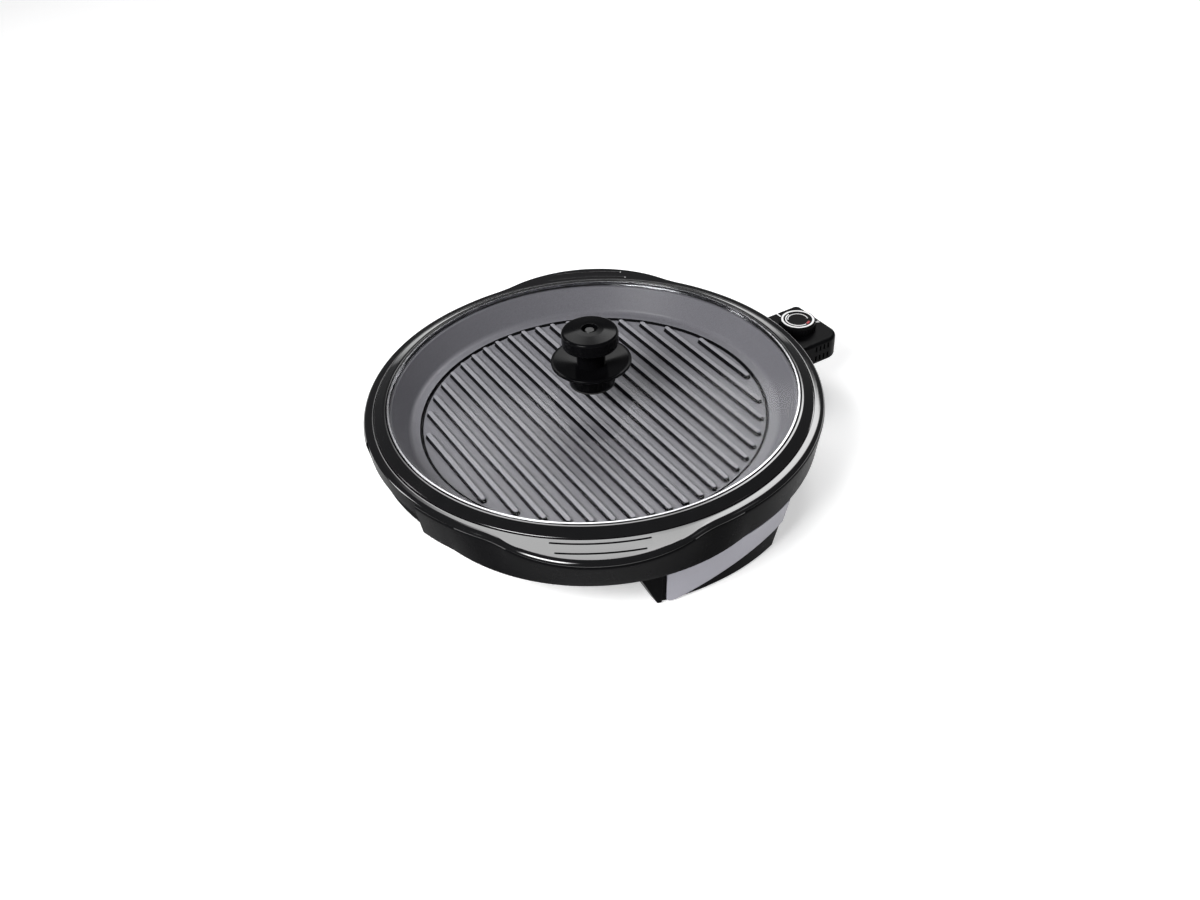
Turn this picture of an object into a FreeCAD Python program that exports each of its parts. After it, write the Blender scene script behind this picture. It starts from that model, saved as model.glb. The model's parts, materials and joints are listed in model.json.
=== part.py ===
"""Round table-top electric grill with a lift-off glass lid and a plug-in heat control.

Millimetres, +Z up. Every piece is drawn about the grill's upright axis with the table at z = 0.
The handles lie on the Y axis, and the heat control plugs in along axis_angle.
"""
import FreeCAD
import Part
import math
import os

V = FreeCAD.Vector
ORIGIN = V(0, 0, 0)
UP = V(0, 0, 1)

# Grill plate's rim, which the other round sizes follow
plate_radius = 200.0

# Base ring
skirt_bottom = 45.0
ring_height = 35.0
ring_band = 11.0
ring_wall = 3.0
ring_edge_radius = 5.0
skirt_lean = 5.0
top_fall_angle = 1.5
ledge_drop = 2.0
lip_height = 12.0
handle_overhang = 19.0
handle_radius = 118.0
handle_blend = 100.0
handle_angles = (90.0, 270.0)
foot_overhang = 11.3
foot_radius = 170.0
foot_blend = 100.0
groove_inset = 5.4
groove_spacing = 10.7
groove_half_angles = (11.3, 9.6)
groove_size = 0.9

# Ports for the heat control and opposite it
axis_angle = 30.0
port_half_angle = 14.0
port_rise = 21.0
port_step = 2.5
port_corner = 6.0

# Bosses that carry the heat shield and the legs
boss_inset = 1.2
boss_radius = 4.0
boss_lift = 5.0
boss_angles = (0.0, 60.0, 180.0, 240.0)
leg_boss_spread = 14.0

# Grill plate
plate_gap = 0.7
plate_wall = 3.2
rim_rise = 7.0
rim_flat = 2.4
rim_edge = 2.5
plate_depth = 30.0
seat_depth = 4.9
seat_width = 4.8
wall_run = 17.0
wall_foot_bend = 6.0
wall_under_bend = 5.0
seat_edge_bend = 1.2
crest_inner_bend = 0.6
crest_outer_bend = 3.0
rim_edge_bend = 1.5
channel_step = 1.5
channel_width = 11.0
channel_groove_width = 2.4
channel_groove_depth = 1.2
rib_pitch = 15.45
rib_base = 5.8
rib_top = 4.4
rib_height = 4.0
rib_shift = 2.6
rib_margin = 1.2

# Heating element under the plate
element_radius = 3.5
loop_inset = 45.0
loop_bend = 15.0
pin_spread = 14.0
pin_radius = 2.4
pin_inset = 15.0
pin_length = 30.0
bead_radius = 4.5
bead_length = 6.0
pad_width = 22.0
pad_depth = 2.9
seat_clearance = 0.2
clip_angles = (90.0, 150.0, 210.0, 270.0)
clip_length = 10.0
clip_thickness = 0.8
clip_foot = 6.8
clip_bend = 2.5

# Pocket for the heat sensor, cast under the plate
pocket_clearance = 2.0
pocket_length = 32.0
pocket_half_width = 8.0
pocket_end_wall = 4.0

# Guard round the terminals
guard_clearance = 1.0
guard_half_width = 31.0
guard_height = 13.8
guard_sheet = 1.0
guard_screw_inset = 5.0
guard_screw_spread = 20.0

# Heat shield
shield_sheet = 1.0
shield_floor_inset = 42.0
shield_slope_inset = 20.0
shield_bend = 6.0
shield_drop = 14.0
shield_margin = 3.8
shield_vent_count = 12
shield_vent_inset = 19.0
shield_vent_length = 26.0
shield_vent_width = 5.0
shield_vent_bend = 2.2
plate_boss_inset = 45.0
plate_boss_radius = 6.0
plate_boss_count = 3

# Legs
leg_setback = 0.2
leg_gap = 0.3
leg_lean = 3.4
leg_top_depth = 22.0
leg_foot_depth = 9.0
leg_half_angle = 22.5
leg_foot_half_angle = 17.4
leg_wall = 3.2
leg_post_radius = 4.0
pad_height = 1.5
pad_margin = 1.2
pad_inner_angle = 4.0
pad_outer_angle = 15.5
panel_inset = 1.8
panel_proud = 0.4
panel_gap = 0.1
panel_left_angle = 15.2
frame_left_angle = 16.3
panel_low = 2.6
panel_low_at = -42.0
panel_high = 23.5
panel_high_at = 57.0
panel_sweep_radius = 420.0
panel_corner = 4.0

# Fasteners
screw_radius = 1.75
screw_head_radius = 3.0
screw_head_height = 2.2
screw_clearance = 0.1
boss_screw_depth = 11.0
small_screw_radius = 1.2
small_head_radius = 2.3
small_head_height = 1.4
small_screw_depth = 2.2

# Glass lid
lid_inset = 12.0
lid_gap = 0.8
lid_lift_gap = 0.3
band_sheet = 0.6
band_lip = 1.4
band_bend = 0.5
glass_thickness = 3.5
glass_flat = 5.0
dome_rise = 5.5
knob_hole_radius = 4.2

# Lid knob
seal_thickness = 1.0
seal_width = 5.0
knob_base_radius = 21.0
knob_base_top_radius = 24.0
knob_base_height = 17.0
knob_wall = 2.5
flange_radius = 36.5
flange_height = 6.5
flange_dish = 4.0
stem_radius = 13.0
stem_height = 20.0
cap_radius = 25.6
cap_height = 14.0
cap_crown = 3.0
cap_edge_radius = 2.5
cap_shoulder_bend = 12.0
cap_recess_bend = 0.5
base_foot_bend = 1.5
base_roof_bend = 2.0
flange_foot_bend = 4.0
flange_lower_bend = 0.8
flange_upper_bend = 1.0
flange_dish_bend = 3.0
cap_recess_radius = 7.0
cap_recess_depth = 5.0
knob_screw_radius = 2.5
knob_screw_head_radius = 4.6
knob_screw_head_height = 3.2
knob_washer_radius = 11.0
knob_washer_thickness = 1.2
knob_nut_radius = 5.0
knob_nut_height = 4.0

# Heat control
control_gap = 3.0
control_length = 57.0
control_half_width = 35.0
control_drop = 12.0
control_rise = 12.0
control_wall = 2.2
control_inner_corner = 4.0
control_outer_corner = 16.0
control_far_corner = 6.0
control_top_edge = 3.5
control_bottom_edge = 2.5
vent_columns = 4
vent_pitch = 5.0
vent_width = 2.0
vent_height = 6.0
vent_parting_gap = 2.4
vent_offset = 32.0
nose_gap = 4.0
nose_bend = 1.5
nose_tail = 16.0
nose_half_width = 25.0
nose_half_height = 5.0
fit_gap = 0.1
receptacle_radius = 4.0
receptacle_gap = 0.15
receptacle_start = 2.0
receptacle_length = 34.0
sensor_radius = 3.0
sensor_gap = 0.3
sensor_tip_gap = 2.0
sensor_tail = 10.0
thermostat_length = 30.0
thermostat_half_width = 12.0
thermostat_rise = 6.0
thermostat_gap = 1.5
thermostat_bend = 1.5
bush_radius = 5.0
bush_gap = 0.2
shaft_radius = 3.0
shaft_gap = 0.05
shaft_depth = 14.0
dial_from_start = 28.0
dial_gap = 0.3
dial_radius = 18.5
dial_top_radius = 17.6
dial_height = 10.0
dial_top_edge = 1.0
dial_socket = 6.0
flute_count = 30
flute_radius = 0.9
flute_height = 7.0
screw_post_radius = 3.4
screw_post_inset = 5.8
outer_post_inset = 13.0
outlet_offset = 17.0
outlet_radius = 6.0
outlet_bore = 3.5
outlet_flange_radius = 7.5
outlet_flange = 2.0

# Heights that follow from the sizes above
ring_top = skirt_bottom + ring_height
ledge = ring_top - ledge_drop
crest = ledge + rim_rise
seat = crest - seat_depth
floor = crest - plate_depth
underside = floor - plate_wall
pad_face = underside - pad_depth
element_height = pad_face - seat_clearance - element_radius
boss_bottom = skirt_bottom + boss_lift
flange_bottom = boss_bottom - shield_sheet
shield_floor = boss_bottom - shield_drop
port_top = skirt_bottom + port_rise
leg_top = skirt_bottom - leg_gap
glass_bottom = seat + lid_lift_gap + band_sheet
glass_top = glass_bottom + glass_thickness
knob_seat = glass_top + dome_rise
control_bottom = element_height - control_drop
control_top = element_height + control_rise

# Radii and distances from the axis that follow
ring_radius = plate_radius + ring_band
handle_reach = ring_radius + handle_overhang
skirt_radius = ring_radius - skirt_lean
groove_radii = (plate_radius + groove_inset, plate_radius + groove_inset + groove_spacing)
boss_circle = plate_radius - boss_inset
lid_radius = plate_radius - lid_inset
wall_foot_radius = lid_radius - wall_run
channel_groove_radius = wall_foot_radius - channel_width
loop_radius = channel_groove_radius - loop_inset
plate_boss_circle = loop_radius - plate_boss_inset
shield_floor_radius = plate_radius - shield_floor_inset
shield_slope_radius = plate_radius - shield_slope_inset
shield_vent_start = loop_radius - shield_vent_inset
shield_vent_end = shield_vent_start + shield_vent_length
seat_radius = lid_radius + lid_gap
seat_inner_radius = seat_radius - seat_width
ledge_radius = seat_radius + plate_wall + plate_gap
leg_top_radius = skirt_radius - leg_setback
leg_foot_radius = leg_top_radius - leg_lean
shield_radius = boss_circle + shield_margin
leg_angles = (axis_angle - 90.0, axis_angle + 90.0)
pocket_start = loop_radius + pad_width / 2 + pocket_clearance
guard_start = pocket_start + pocket_length + guard_clearance
guard_screw_at = guard_start + guard_screw_inset
pin_start = guard_start + pin_inset
control_start = ring_radius + control_gap
nose_tip = pin_start + bead_length + nose_gap
control_end = control_start + control_length
dial_at = control_start + dial_from_start


def rounded_wire(corners, place):
    """Closed wire through (a, b, radius) corners, each corner turned by an arc of its radius."""
    turns = []
    for index, (a, b, radius) in enumerate(corners):
        here = V(a, b, 0)
        back = V(*corners[index - 1][:2], 0) - here
        onward = V(*corners[(index + 1) % len(corners)][:2], 0) - here
        back = back * (1 / back.Length)
        onward = onward * (1 / onward.Length)
        if radius == 0:
            turns.append((here, here, here))
            continue
        half = back.getAngle(onward) / 2
        inward = back + onward
        inward = inward * (1 / inward.Length)
        run = radius / math.tan(half)
        turns.append((here + back * run, here + inward * (radius / math.sin(half) - radius), here + onward * run))
    points = [[place(p.x, p.y) for p in turn] for turn in turns]
    edges = []
    for index, (start, middle, end) in enumerate(points):
        if (end - start).Length > 1e-6:
            edges.append(Part.Arc(start, middle, end).toShape())
        following = points[(index + 1) % len(points)][0]
        if (following - end).Length > 1e-6:
            edges.append(Part.makeLine(end, following))
    return Part.Wire(edges)


def upright(r, z):
    """Point of a profile that stands in the XZ plane."""
    return V(r, 0, z)


def turned(corners, start=0.0, sweep=360.0):
    """Solid turned about the grill's axis from a profile of (r, z, radius) corners."""
    solid = Part.Face(rounded_wire(corners, upright)).revolve(ORIGIN, UP, sweep)
    solid.rotate(ORIGIN, UP, start)
    return solid


def square(points):
    """Corners with no rounding."""
    return [(a, b, 0.0) for a, b in points]


def prism(corners, low, high):
    """Upright prism over a plan of (x, y, radius) corners."""
    wire = rounded_wire(corners, lambda x, y: V(x, y, low))
    return Part.Face(wire).extrude(V(0, 0, high - low))


def block(x0, x1, y0, y1, z0, z1):
    """Plain block between two corners."""
    return Part.makeBox(x1 - x0, y1 - y0, z1 - z0, V(x0, y0, z0))


def post(x, y, low, high, radius):
    """Upright round bar."""
    return Part.makeCylinder(radius, high - low, V(x, y, low))


def rod(start, length, y, z, radius):
    """Round bar that lies along X."""
    return Part.makeCylinder(radius, length, V(start, y, z), V(1, 0, 0))


def polar(radius, angle):
    """Plan position at a radius and an angle in degrees."""
    return radius * math.cos(math.radians(angle)), radius * math.sin(math.radians(angle))


def rotated(shape, angle):
    """Copy of a shape turned about the grill's axis."""
    copy = shape.copy()
    copy.rotate(ORIGIN, UP, angle)
    return copy


def screw_up(x, y, head_top, depth, radius, head_radius, head_height):
    """Screw driven upwards: its head lies under head_top and its shank reaches depth above it."""
    head = post(x, y, head_top - head_height, head_top, head_radius)
    return head.fuse(post(x, y, head_top, head_top + depth, radius)).removeSplitter()


def roof_height(radius):
    """Height of the ring's falling top face at a radius."""
    return ring_top - max(0.0, radius - plate_radius) * math.tan(math.radians(top_fall_angle))


def ring_outline(circle, overhang, bow, turn, inset, height):
    """Plan outline at a height of a circle with two bowed ends that turn into it, drawn in by inset."""
    radius = circle - inset
    nose = bow - inset
    blend = turn + inset
    nose_y = circle + overhang - bow
    far = radius + blend
    reach = nose + blend
    centre_y = (far ** 2 - reach ** 2 + nose_y ** 2) / (2 * nose_y)
    centre = V(math.sqrt(far ** 2 - centre_y ** 2), centre_y, 0)
    nose_centre = V(0, nose_y, 0)
    on_nose = nose_centre + (centre - nose_centre) * (nose / reach)
    on_ring = centre * (radius / far)
    towards = (on_nose + on_ring) * 0.5 - centre
    on_blend = centre + towards * (blend / towards.Length)

    def mirrored(point, side, end):
        return V(side * point.x, end * point.y, height)

    edges = []
    for end in (1, -1):
        side = end
        tip = V(0, end * (nose_y + nose), height)
        edges.append(Part.Arc(mirrored(on_nose, -side, end), tip, mirrored(on_nose, side, end)))
        edges.append(Part.Arc(mirrored(on_nose, side, end), mirrored(on_blend, side, end), mirrored(on_ring, side, end)))
        flank = V(side * radius, 0, height)
        edges.append(Part.Arc(mirrored(on_ring, side, end), flank, mirrored(on_ring, side, -end)))
        edges.append(Part.Arc(mirrored(on_ring, side, -end), mirrored(on_blend, side, -end), mirrored(on_nose, side, -end)))
    return Part.Wire([edge.toShape() for edge in edges])


def under_roof(inset, drop):
    """Ring body drawn in by inset, with its top face lowered by drop."""
    foot = ring_outline(skirt_radius, foot_overhang, foot_radius, foot_blend, inset, skirt_bottom)
    top = ring_outline(ring_radius, handle_overhang, handle_radius, handle_blend, inset, ring_top)
    walls = Part.makeLoft([foot, top], True, True)
    far = handle_reach + ring_wall
    roof = turned(square([(0, skirt_bottom), (far, skirt_bottom), (far, roof_height(far) - drop),
                          (plate_radius, ring_top - drop), (0, ring_top - drop)]))
    return walls.common(roof)


def base_ring():
    """Moulded ring with two handles, a ledge for the plate, screw bosses and two ports in its skirt."""
    outer = under_roof(0.0, 0.0)
    top_edges = [edge for edge in outer.Edges if edge.BoundBox.ZMin > skirt_bottom + ring_height / 2]
    outer = outer.makeFillet(ring_edge_radius, top_edges)
    lip_radius = ledge_radius + ring_wall
    hollow = under_roof(ring_wall, ring_wall)
    hollow = hollow.cut(post(0, 0, ledge - lip_height, ring_top, lip_radius))
    ring = outer.cut(hollow)
    well = turned(square([(0, skirt_bottom), (ledge_radius, skirt_bottom), (ledge_radius, ledge),
                          (plate_radius + plate_gap, ledge), (plate_radius + plate_gap, ring_top), (0, ring_top)]))
    ring = ring.cut(well)
    bosses = [post(*polar(boss_circle, angle), boss_bottom, ledge - ring_wall / 2, boss_radius)
              for angle in all_boss_angles()]
    ring = ring.multiFuse(bosses)
    cuts = [post(*polar(boss_circle, angle), boss_bottom, boss_bottom + boss_screw_depth, screw_radius + screw_clearance)
            for angle in all_boss_angles()]
    far = handle_reach + ring_wall
    for angle in (axis_angle, axis_angle + 180):
        mouth = square([(lip_radius, skirt_bottom), (far, skirt_bottom), (far, port_top), (lip_radius, port_top)])
        opening = turned(mouth, angle - port_half_angle, 2 * port_half_angle)
        corners = [edge for edge in opening.Edges if edge.BoundBox.ZMin > port_top - fit_gap and len(edge.Vertexes) == 2
                   and abs(edge.Length - (far - lip_radius)) < fit_gap]
        cuts.append(opening.makeFillet(port_corner, corners))
        step = ring_radius - port_step
        edge = square([(step, skirt_bottom), (far, skirt_bottom), (far, ring_top), (step, ring_top)])
        cuts.append(turned(edge, angle - port_half_angle, 2 * port_half_angle))
    for radius, half_angle in zip(groove_radii, groove_half_angles):
        face = roof_height(radius)
        profile = square([(radius - groove_size, face + groove_size), (radius - groove_size / 2, face - groove_size),
                          (radius + groove_size / 2, face - groove_size), (radius + groove_size, face + groove_size)])
        for middle in handle_angles:
            cuts.append(turned(profile, middle - half_angle, 2 * half_angle))
    return ring.cut(cuts)


def all_boss_angles():
    """Angles of every boss: the shield's own and two for each leg."""
    leg_bosses = [angle + side * leg_boss_spread for angle in leg_angles for side in (-1, 1)]
    return list(boss_angles) + leg_bosses


def plate_boss_places():
    """Plan positions of the bosses that the plate is held down by."""
    return [polar(plate_boss_circle, axis_angle + 60 + 360 * i / plate_boss_count) for i in range(plate_boss_count)]


def clip_screw_places():
    """Plan positions of the screws that hold the element's clips."""
    offset = element_radius + seat_clearance + clip_thickness + clip_foot / 2
    return [polar(loop_radius + side * offset, axis_angle + angle) for angle in clip_angles for side in (-1, 1)]


def guard_screw_places():
    """Plan positions of the two screws of the terminal guard."""
    places = []
    for side in (-1, 1):
        spot = V(guard_screw_at, side * guard_screw_spread, 0)
        turned_spot = FreeCAD.Rotation(UP, axis_angle).multVec(spot)
        places.append((turned_spot.x, turned_spot.y))
    return places


def stadium(half_length, half_width, height):
    """Plan of a bar along Y with round ends."""
    run = half_length - half_width
    top = Part.Arc(V(half_width, run, height), V(0, half_length, height), V(-half_width, run, height)).toShape()
    bottom = Part.Arc(V(-half_width, -run, height), V(0, -half_length, height), V(half_width, -run, height)).toShape()
    left = Part.makeLine(V(-half_width, run, height), V(-half_width, -run, height))
    right = Part.makeLine(V(half_width, -run, height), V(half_width, run, height))
    return Part.Wire([top, left, bottom, right])


def ribs():
    """Parallel ribs of the plate, each ending short of the groove that runs round them."""
    field = channel_groove_radius - channel_groove_width / 2 - rib_margin
    count = int(field // rib_pitch) + 1
    solids = []
    for index in range(-count, count + 1):
        offset = rib_shift + (index + 0.5) * rib_pitch
        edge = abs(offset) + rib_base / 2
        if edge >= field:
            continue
        half_length = math.sqrt(field ** 2 - edge ** 2)
        if half_length < 2 * rib_base:
            continue
        draft = (rib_base - rib_top) / 2
        low = stadium(half_length, rib_base / 2, floor - draft)
        high = stadium(half_length - draft, rib_top / 2, floor + rib_height)
        rib = Part.makeLoft([low, high], True, True)
        rib.translate(V(offset, 0, 0))
        solids.append(rotated(rib, axis_angle))
    return solids


def grill_plate():
    """Cast dish with a rolled rim, a seat for the lid, ribs, a fat groove and the element's pad beneath."""
    groove_in = channel_groove_radius - channel_groove_width / 2
    groove_out = channel_groove_radius + channel_groove_width / 2
    lip = plate_radius - plate_wall
    under_seat = seat - plate_wall
    profile = [
        (0, floor, 0), (groove_in, floor, 0), (groove_in, floor - channel_groove_depth, 0),
        (groove_out, floor - channel_groove_depth, 0), (groove_out, floor + channel_step, 0),
        (wall_foot_radius, floor + channel_step, wall_foot_bend), (seat_inner_radius, seat, seat_edge_bend),
        (seat_radius, seat, 0),
        (seat_radius, crest, crest_inner_bend), (seat_radius + rim_flat, crest, crest_outer_bend),
        (plate_radius, ledge + rim_edge, rim_edge_bend),
        (plate_radius, ledge, 0), (lip, ledge, 0), (lip, ledge + rim_edge / 2, 0),
        (seat_radius + plate_wall, seat, 0), (seat_radius + plate_wall / 2, under_seat, 0),
        (seat_inner_radius + plate_wall / 2, under_seat, 0), (wall_foot_radius + plate_wall, underside, wall_under_bend),
        (loop_radius + pad_width / 2, underside, 0), (loop_radius + pad_width / 2, pad_face, 0),
        (loop_radius - pad_width / 2, pad_face, 0), (loop_radius - pad_width / 2, underside, 0), (0, underside, 0)]
    dish = turned(profile)
    pocket = block(pocket_start, pocket_start + pocket_length, -pocket_half_width, pocket_half_width,
                   element_height - sensor_radius - sensor_gap - plate_wall, underside + plate_wall / 2)
    bosses = [post(x, y, shield_floor, underside + plate_wall / 2, plate_boss_radius) for x, y in plate_boss_places()]
    plate = dish.multiFuse(ribs() + bosses + [rotated(pocket, axis_angle)])
    bore = rod(pocket_start + pocket_end_wall, pocket_length, 0, element_height, sensor_radius + sensor_gap)
    cuts = [rotated(bore, axis_angle)]
    cuts += [post(x, y, shield_floor, shield_floor + boss_screw_depth, screw_radius + screw_clearance)
             for x, y in plate_boss_places()]
    cuts += [post(x, y, pad_face, pad_face + small_screw_depth, small_screw_radius + screw_clearance)
             for x, y in clip_screw_places()]
    cuts += [post(x, y, underside, underside + small_screw_depth, small_screw_radius + screw_clearance)
             for x, y in guard_screw_places()]
    return plate.cut(cuts)


def heating_element():
    """Sheathed element: an open loop whose two ends turn out towards the heat control."""
    bend_v = pin_spread + loop_bend
    bend_u = math.sqrt((loop_radius + loop_bend) ** 2 - bend_v ** 2)
    bend_centre = V(bend_u, bend_v, element_height)
    share = loop_radius / (loop_radius + loop_bend)
    on_loop = V(bend_u * share, bend_v * share, element_height)
    on_run = V(bend_u, pin_spread, element_height)
    towards = (on_loop + on_run) * 0.5 - bend_centre
    on_bend = bend_centre + towards * (loop_bend / towards.Length)
    far_side = V(-loop_radius, 0, element_height)
    end = V(pin_start, pin_spread, element_height)

    def other(point):
        return V(point.x, -point.y, point.z)

    path = Part.Wire([
        Part.makeLine(end, on_run), Part.Arc(on_run, on_bend, on_loop).toShape(),
        Part.Arc(on_loop, far_side, other(on_loop)).toShape(),
        Part.Arc(other(on_loop), other(on_bend), other(on_run)).toShape(), Part.makeLine(other(on_run), other(end))])
    section = Part.Wire([Part.makeCircle(element_radius, end, V(1, 0, 0))])
    return rotated(path.makePipeShell([section], True, False), axis_angle)


def terminal_pins():
    """Two contact pins at the ends of the element."""
    pins = [rod(pin_start, pin_length, side * pin_spread, element_height, pin_radius) for side in (-1, 1)]
    return [rotated(pin, axis_angle) for pin in pins]


def terminal_beads():
    """Insulating beads round the foot of each pin."""
    beads = []
    for side in (-1, 1):
        bead = rod(pin_start, bead_length, side * pin_spread, element_height, bead_radius)
        bead = bead.cut(rod(pin_start, bead_length, side * pin_spread, element_height, pin_radius + fit_gap))
        beads.append(rotated(bead, axis_angle))
    return beads


def element_clips():
    """Straps that hold the element against its pad."""
    inside = element_radius + seat_clearance
    depth = 2 * inside
    foot = inside + clip_thickness + clip_foot
    low = pad_face - depth
    outer = inside + clip_thickness
    strap = [(-foot, pad_face, 0), (-inside, pad_face, 0), (-inside, low, clip_bend), (inside, low, clip_bend), (inside, pad_face, 0),
             (foot, pad_face, 0), (foot, pad_face - clip_thickness, 0), (outer, pad_face - clip_thickness, 0),
             (outer, low - clip_thickness, clip_bend + clip_thickness),
             (-outer, low - clip_thickness, clip_bend + clip_thickness), (-outer, pad_face - clip_thickness, 0),
             (-foot, pad_face - clip_thickness, 0)]
    wire = rounded_wire(strap, lambda r, z: V(loop_radius + r, -clip_length / 2, z))
    clip = Part.Face(wire).extrude(V(0, clip_length, 0))
    offset = outer + clip_foot / 2
    for side in (-1, 1):
        hole = post(loop_radius + side * offset, 0, pad_face - clip_thickness, pad_face, small_screw_radius + screw_clearance)
        clip = clip.cut(hole)
    return [rotated(clip, axis_angle + angle) for angle in clip_angles]


def clip_screws():
    """Screws of the element's clips."""
    return [small_screw(x, y, pad_face - clip_thickness, clip_thickness) for x, y in clip_screw_places()]


def small_screw(x, y, head_top, sheet):
    """Small screw driven up through a sheet into the plate."""
    return screw_up(x, y, head_top, sheet + small_screw_depth - screw_clearance, small_screw_radius, small_head_radius,
                    small_head_height)


def terminal_guard():
    """Sheet sleeve under the plate that the heat control's nose slides into."""
    top = underside
    bottom = underside - guard_height
    end = plate_radius
    sleeve = block(guard_start, end, -guard_half_width, guard_half_width, bottom, top)
    inner = guard_half_width - guard_sheet
    sleeve = sleeve.cut(block(guard_start, end, -inner, inner, bottom + guard_sheet, top - guard_sheet))
    for side in (-1, 1):
        hole = post(guard_screw_at, side * guard_screw_spread, top - guard_sheet, top, small_screw_radius + screw_clearance)
        sleeve = sleeve.cut(hole)
    return rotated(sleeve, axis_angle)


def guard_screws():
    """Screws of the terminal guard."""
    return [small_screw(x, y, underside - guard_sheet, guard_sheet) for x, y in guard_screw_places()]


def heat_shield():
    """Pressed steel pan under the plate, with vents, screwed to the ring's bosses."""
    low = shield_floor - shield_sheet
    pan = turned([(0, shield_floor, 0), (shield_floor_radius, shield_floor, shield_bend),
                  (shield_slope_radius, boss_bottom, shield_bend),
                  (shield_radius, boss_bottom, 0), (shield_radius, flange_bottom, 0),
                  (shield_slope_radius, flange_bottom, shield_bend), (shield_floor_radius, low, shield_bend), (0, low, 0)])
    cuts = []
    for index in range(shield_vent_count):
        vent = prism([(shield_vent_start, -shield_vent_width / 2, shield_vent_bend),
                      (shield_vent_end, -shield_vent_width / 2, shield_vent_bend),
                      (shield_vent_end, shield_vent_width / 2, shield_vent_bend),
                      (shield_vent_start, shield_vent_width / 2, shield_vent_bend)], low, shield_floor)
        cuts.append(rotated(vent, axis_angle + (index + 0.5) * 360 / shield_vent_count))
    mouth = guard_half_width + guard_sheet
    guard_low = underside - guard_height - guard_sheet
    cuts.append(rotated(block(guard_start - guard_sheet, shield_radius, -mouth, mouth, guard_low, boss_bottom), axis_angle))
    cuts += [post(*polar(boss_circle, angle), flange_bottom, boss_bottom, screw_radius + screw_clearance)
             for angle in all_boss_angles()]
    cuts += [post(x, y, low, shield_floor, screw_radius + screw_clearance) for x, y in plate_boss_places()]
    return pan.cut(cuts)


def shield_screws():
    """Screws through the shield's rim into the ring's bosses."""
    reach = shield_sheet + boss_screw_depth - screw_clearance
    return [screw_up(*polar(boss_circle, angle), flange_bottom, reach, screw_radius, screw_head_radius, screw_head_height)
            for angle in boss_angles]


def plate_screws():
    """Screws through the shield's floor into the plate's bosses."""
    reach = shield_sheet + boss_screw_depth - screw_clearance
    return [screw_up(x, y, shield_floor - shield_sheet, reach, screw_radius, screw_head_radius, screw_head_height)
            for x, y in plate_boss_places()]


def leg_ends(inset):
    """Two wedges that slope the ends of a leg, moved inwards by inset."""
    top = leg_top_radius * math.sin(math.radians(leg_half_angle)) - inset
    foot = leg_foot_radius * math.sin(math.radians(leg_foot_half_angle)) - inset
    slope = (top - foot) / (leg_top - pad_height)
    far = top + leg_top_radius
    high = leg_top + boss_lift
    wedges = []
    for side in (-1, 1):
        corners = [V(0, side * (top + slope * boss_lift), high), V(0, side * far, high), V(0, side * far, 0),
                   V(0, side * (foot - slope * pad_height), 0)]
        face = Part.Face(Part.makePolygon(corners + corners[:1]))
        wedges.append(face.extrude(V(2 * leg_top_radius, 0, 0)))
    return wedges


def leg_face(depth, low, high):
    """Radius-and-height pairs of a leg's outer face, set back by depth, from one height to another."""
    slope = leg_lean / (leg_top - pad_height)
    return [(leg_foot_radius + slope * (z - pad_height) - depth, z) for z in (low, high)]


def leg():
    """Moulded leg shell, drawn about the X axis: open towards the inside, with a bay for the panel."""
    half = leg_half_angle
    face = leg_face(0, pad_height, leg_top)
    body = turned(square(face + [(leg_top_radius - leg_top_depth, leg_top), (leg_foot_radius - leg_foot_depth, pad_height)]),
                  -half, 2 * half)
    body = body.cut(leg_ends(0))
    room = leg_face(leg_wall, pad_height + leg_wall, leg_top - leg_wall)
    hollow = turned(square(room + [(leg_top_radius - 2 * leg_top_depth, leg_top - leg_wall),
                                   (leg_foot_radius - 2 * leg_top_depth, pad_height + leg_wall)]), -half, 2 * half)
    body = body.cut(hollow.cut(leg_ends(leg_wall)))
    back = leg_face(panel_inset, 0, leg_top)
    front = leg_face(-panel_inset, 0, leg_top)
    bay = turned(square(back + front[::-1]), -frame_left_angle, frame_left_angle + half)
    body = body.cut(bay)
    posts = []
    holes = []
    for side in (-1, 1):
        x, y = polar(boss_circle, side * leg_boss_spread)
        posts.append(post(x, y, leg_top - leg_wall, flange_bottom, leg_post_radius))
        holes.append(post(x, y, leg_top - leg_wall, flange_bottom, screw_radius + screw_clearance))
    return body.multiFuse(posts).cut(holes)


def leg_panel():
    """Silver facing of a leg, drawn about the X axis: its lower edge sweeps up from one end to the other."""
    back = leg_face(panel_inset - panel_gap, pad_height, leg_top)
    front = leg_face(-panel_proud, pad_height, leg_top)
    facing = turned(square(back + front[::-1]), -panel_left_angle, panel_left_angle + leg_half_angle)
    facing = facing.cut(leg_ends(0))
    start = V(0, panel_low_at, panel_low)
    end = V(0, panel_high_at, panel_high)
    chord = end - start
    across = V(0, chord.z, -chord.y) * (1 / chord.Length)
    drop = math.sqrt(panel_sweep_radius ** 2 - (chord.Length / 2) ** 2)
    centre = (start + end) * 0.5 + across * drop
    facing = facing.cut(Part.makeCylinder(panel_sweep_radius, 2 * leg_top_radius, centre, V(1, 0, 0)))
    lowest = min(edge.BoundBox.ZMax for edge in facing.Edges)
    low_edges = [edge for edge in facing.Edges if edge.BoundBox.ZMax < lowest + panel_gap]
    return facing.makeFillet(panel_corner, [min(low_edges, key=lambda edge: edge.BoundBox.YMax)])


def leg_pads():
    """Rubber pads under both legs."""
    outer = leg_foot_radius - panel_inset - pad_margin
    inner = leg_foot_radius - leg_foot_depth + pad_margin
    corners = square([(inner, 0), (outer, 0), (outer, pad_height), (inner, pad_height)])
    sweep = pad_outer_angle - pad_inner_angle
    pads = []
    for angle in leg_angles:
        pads.append(turned(corners, angle + pad_inner_angle, sweep))
        pads.append(turned(corners, angle - pad_outer_angle, sweep))
    return pads


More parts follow.
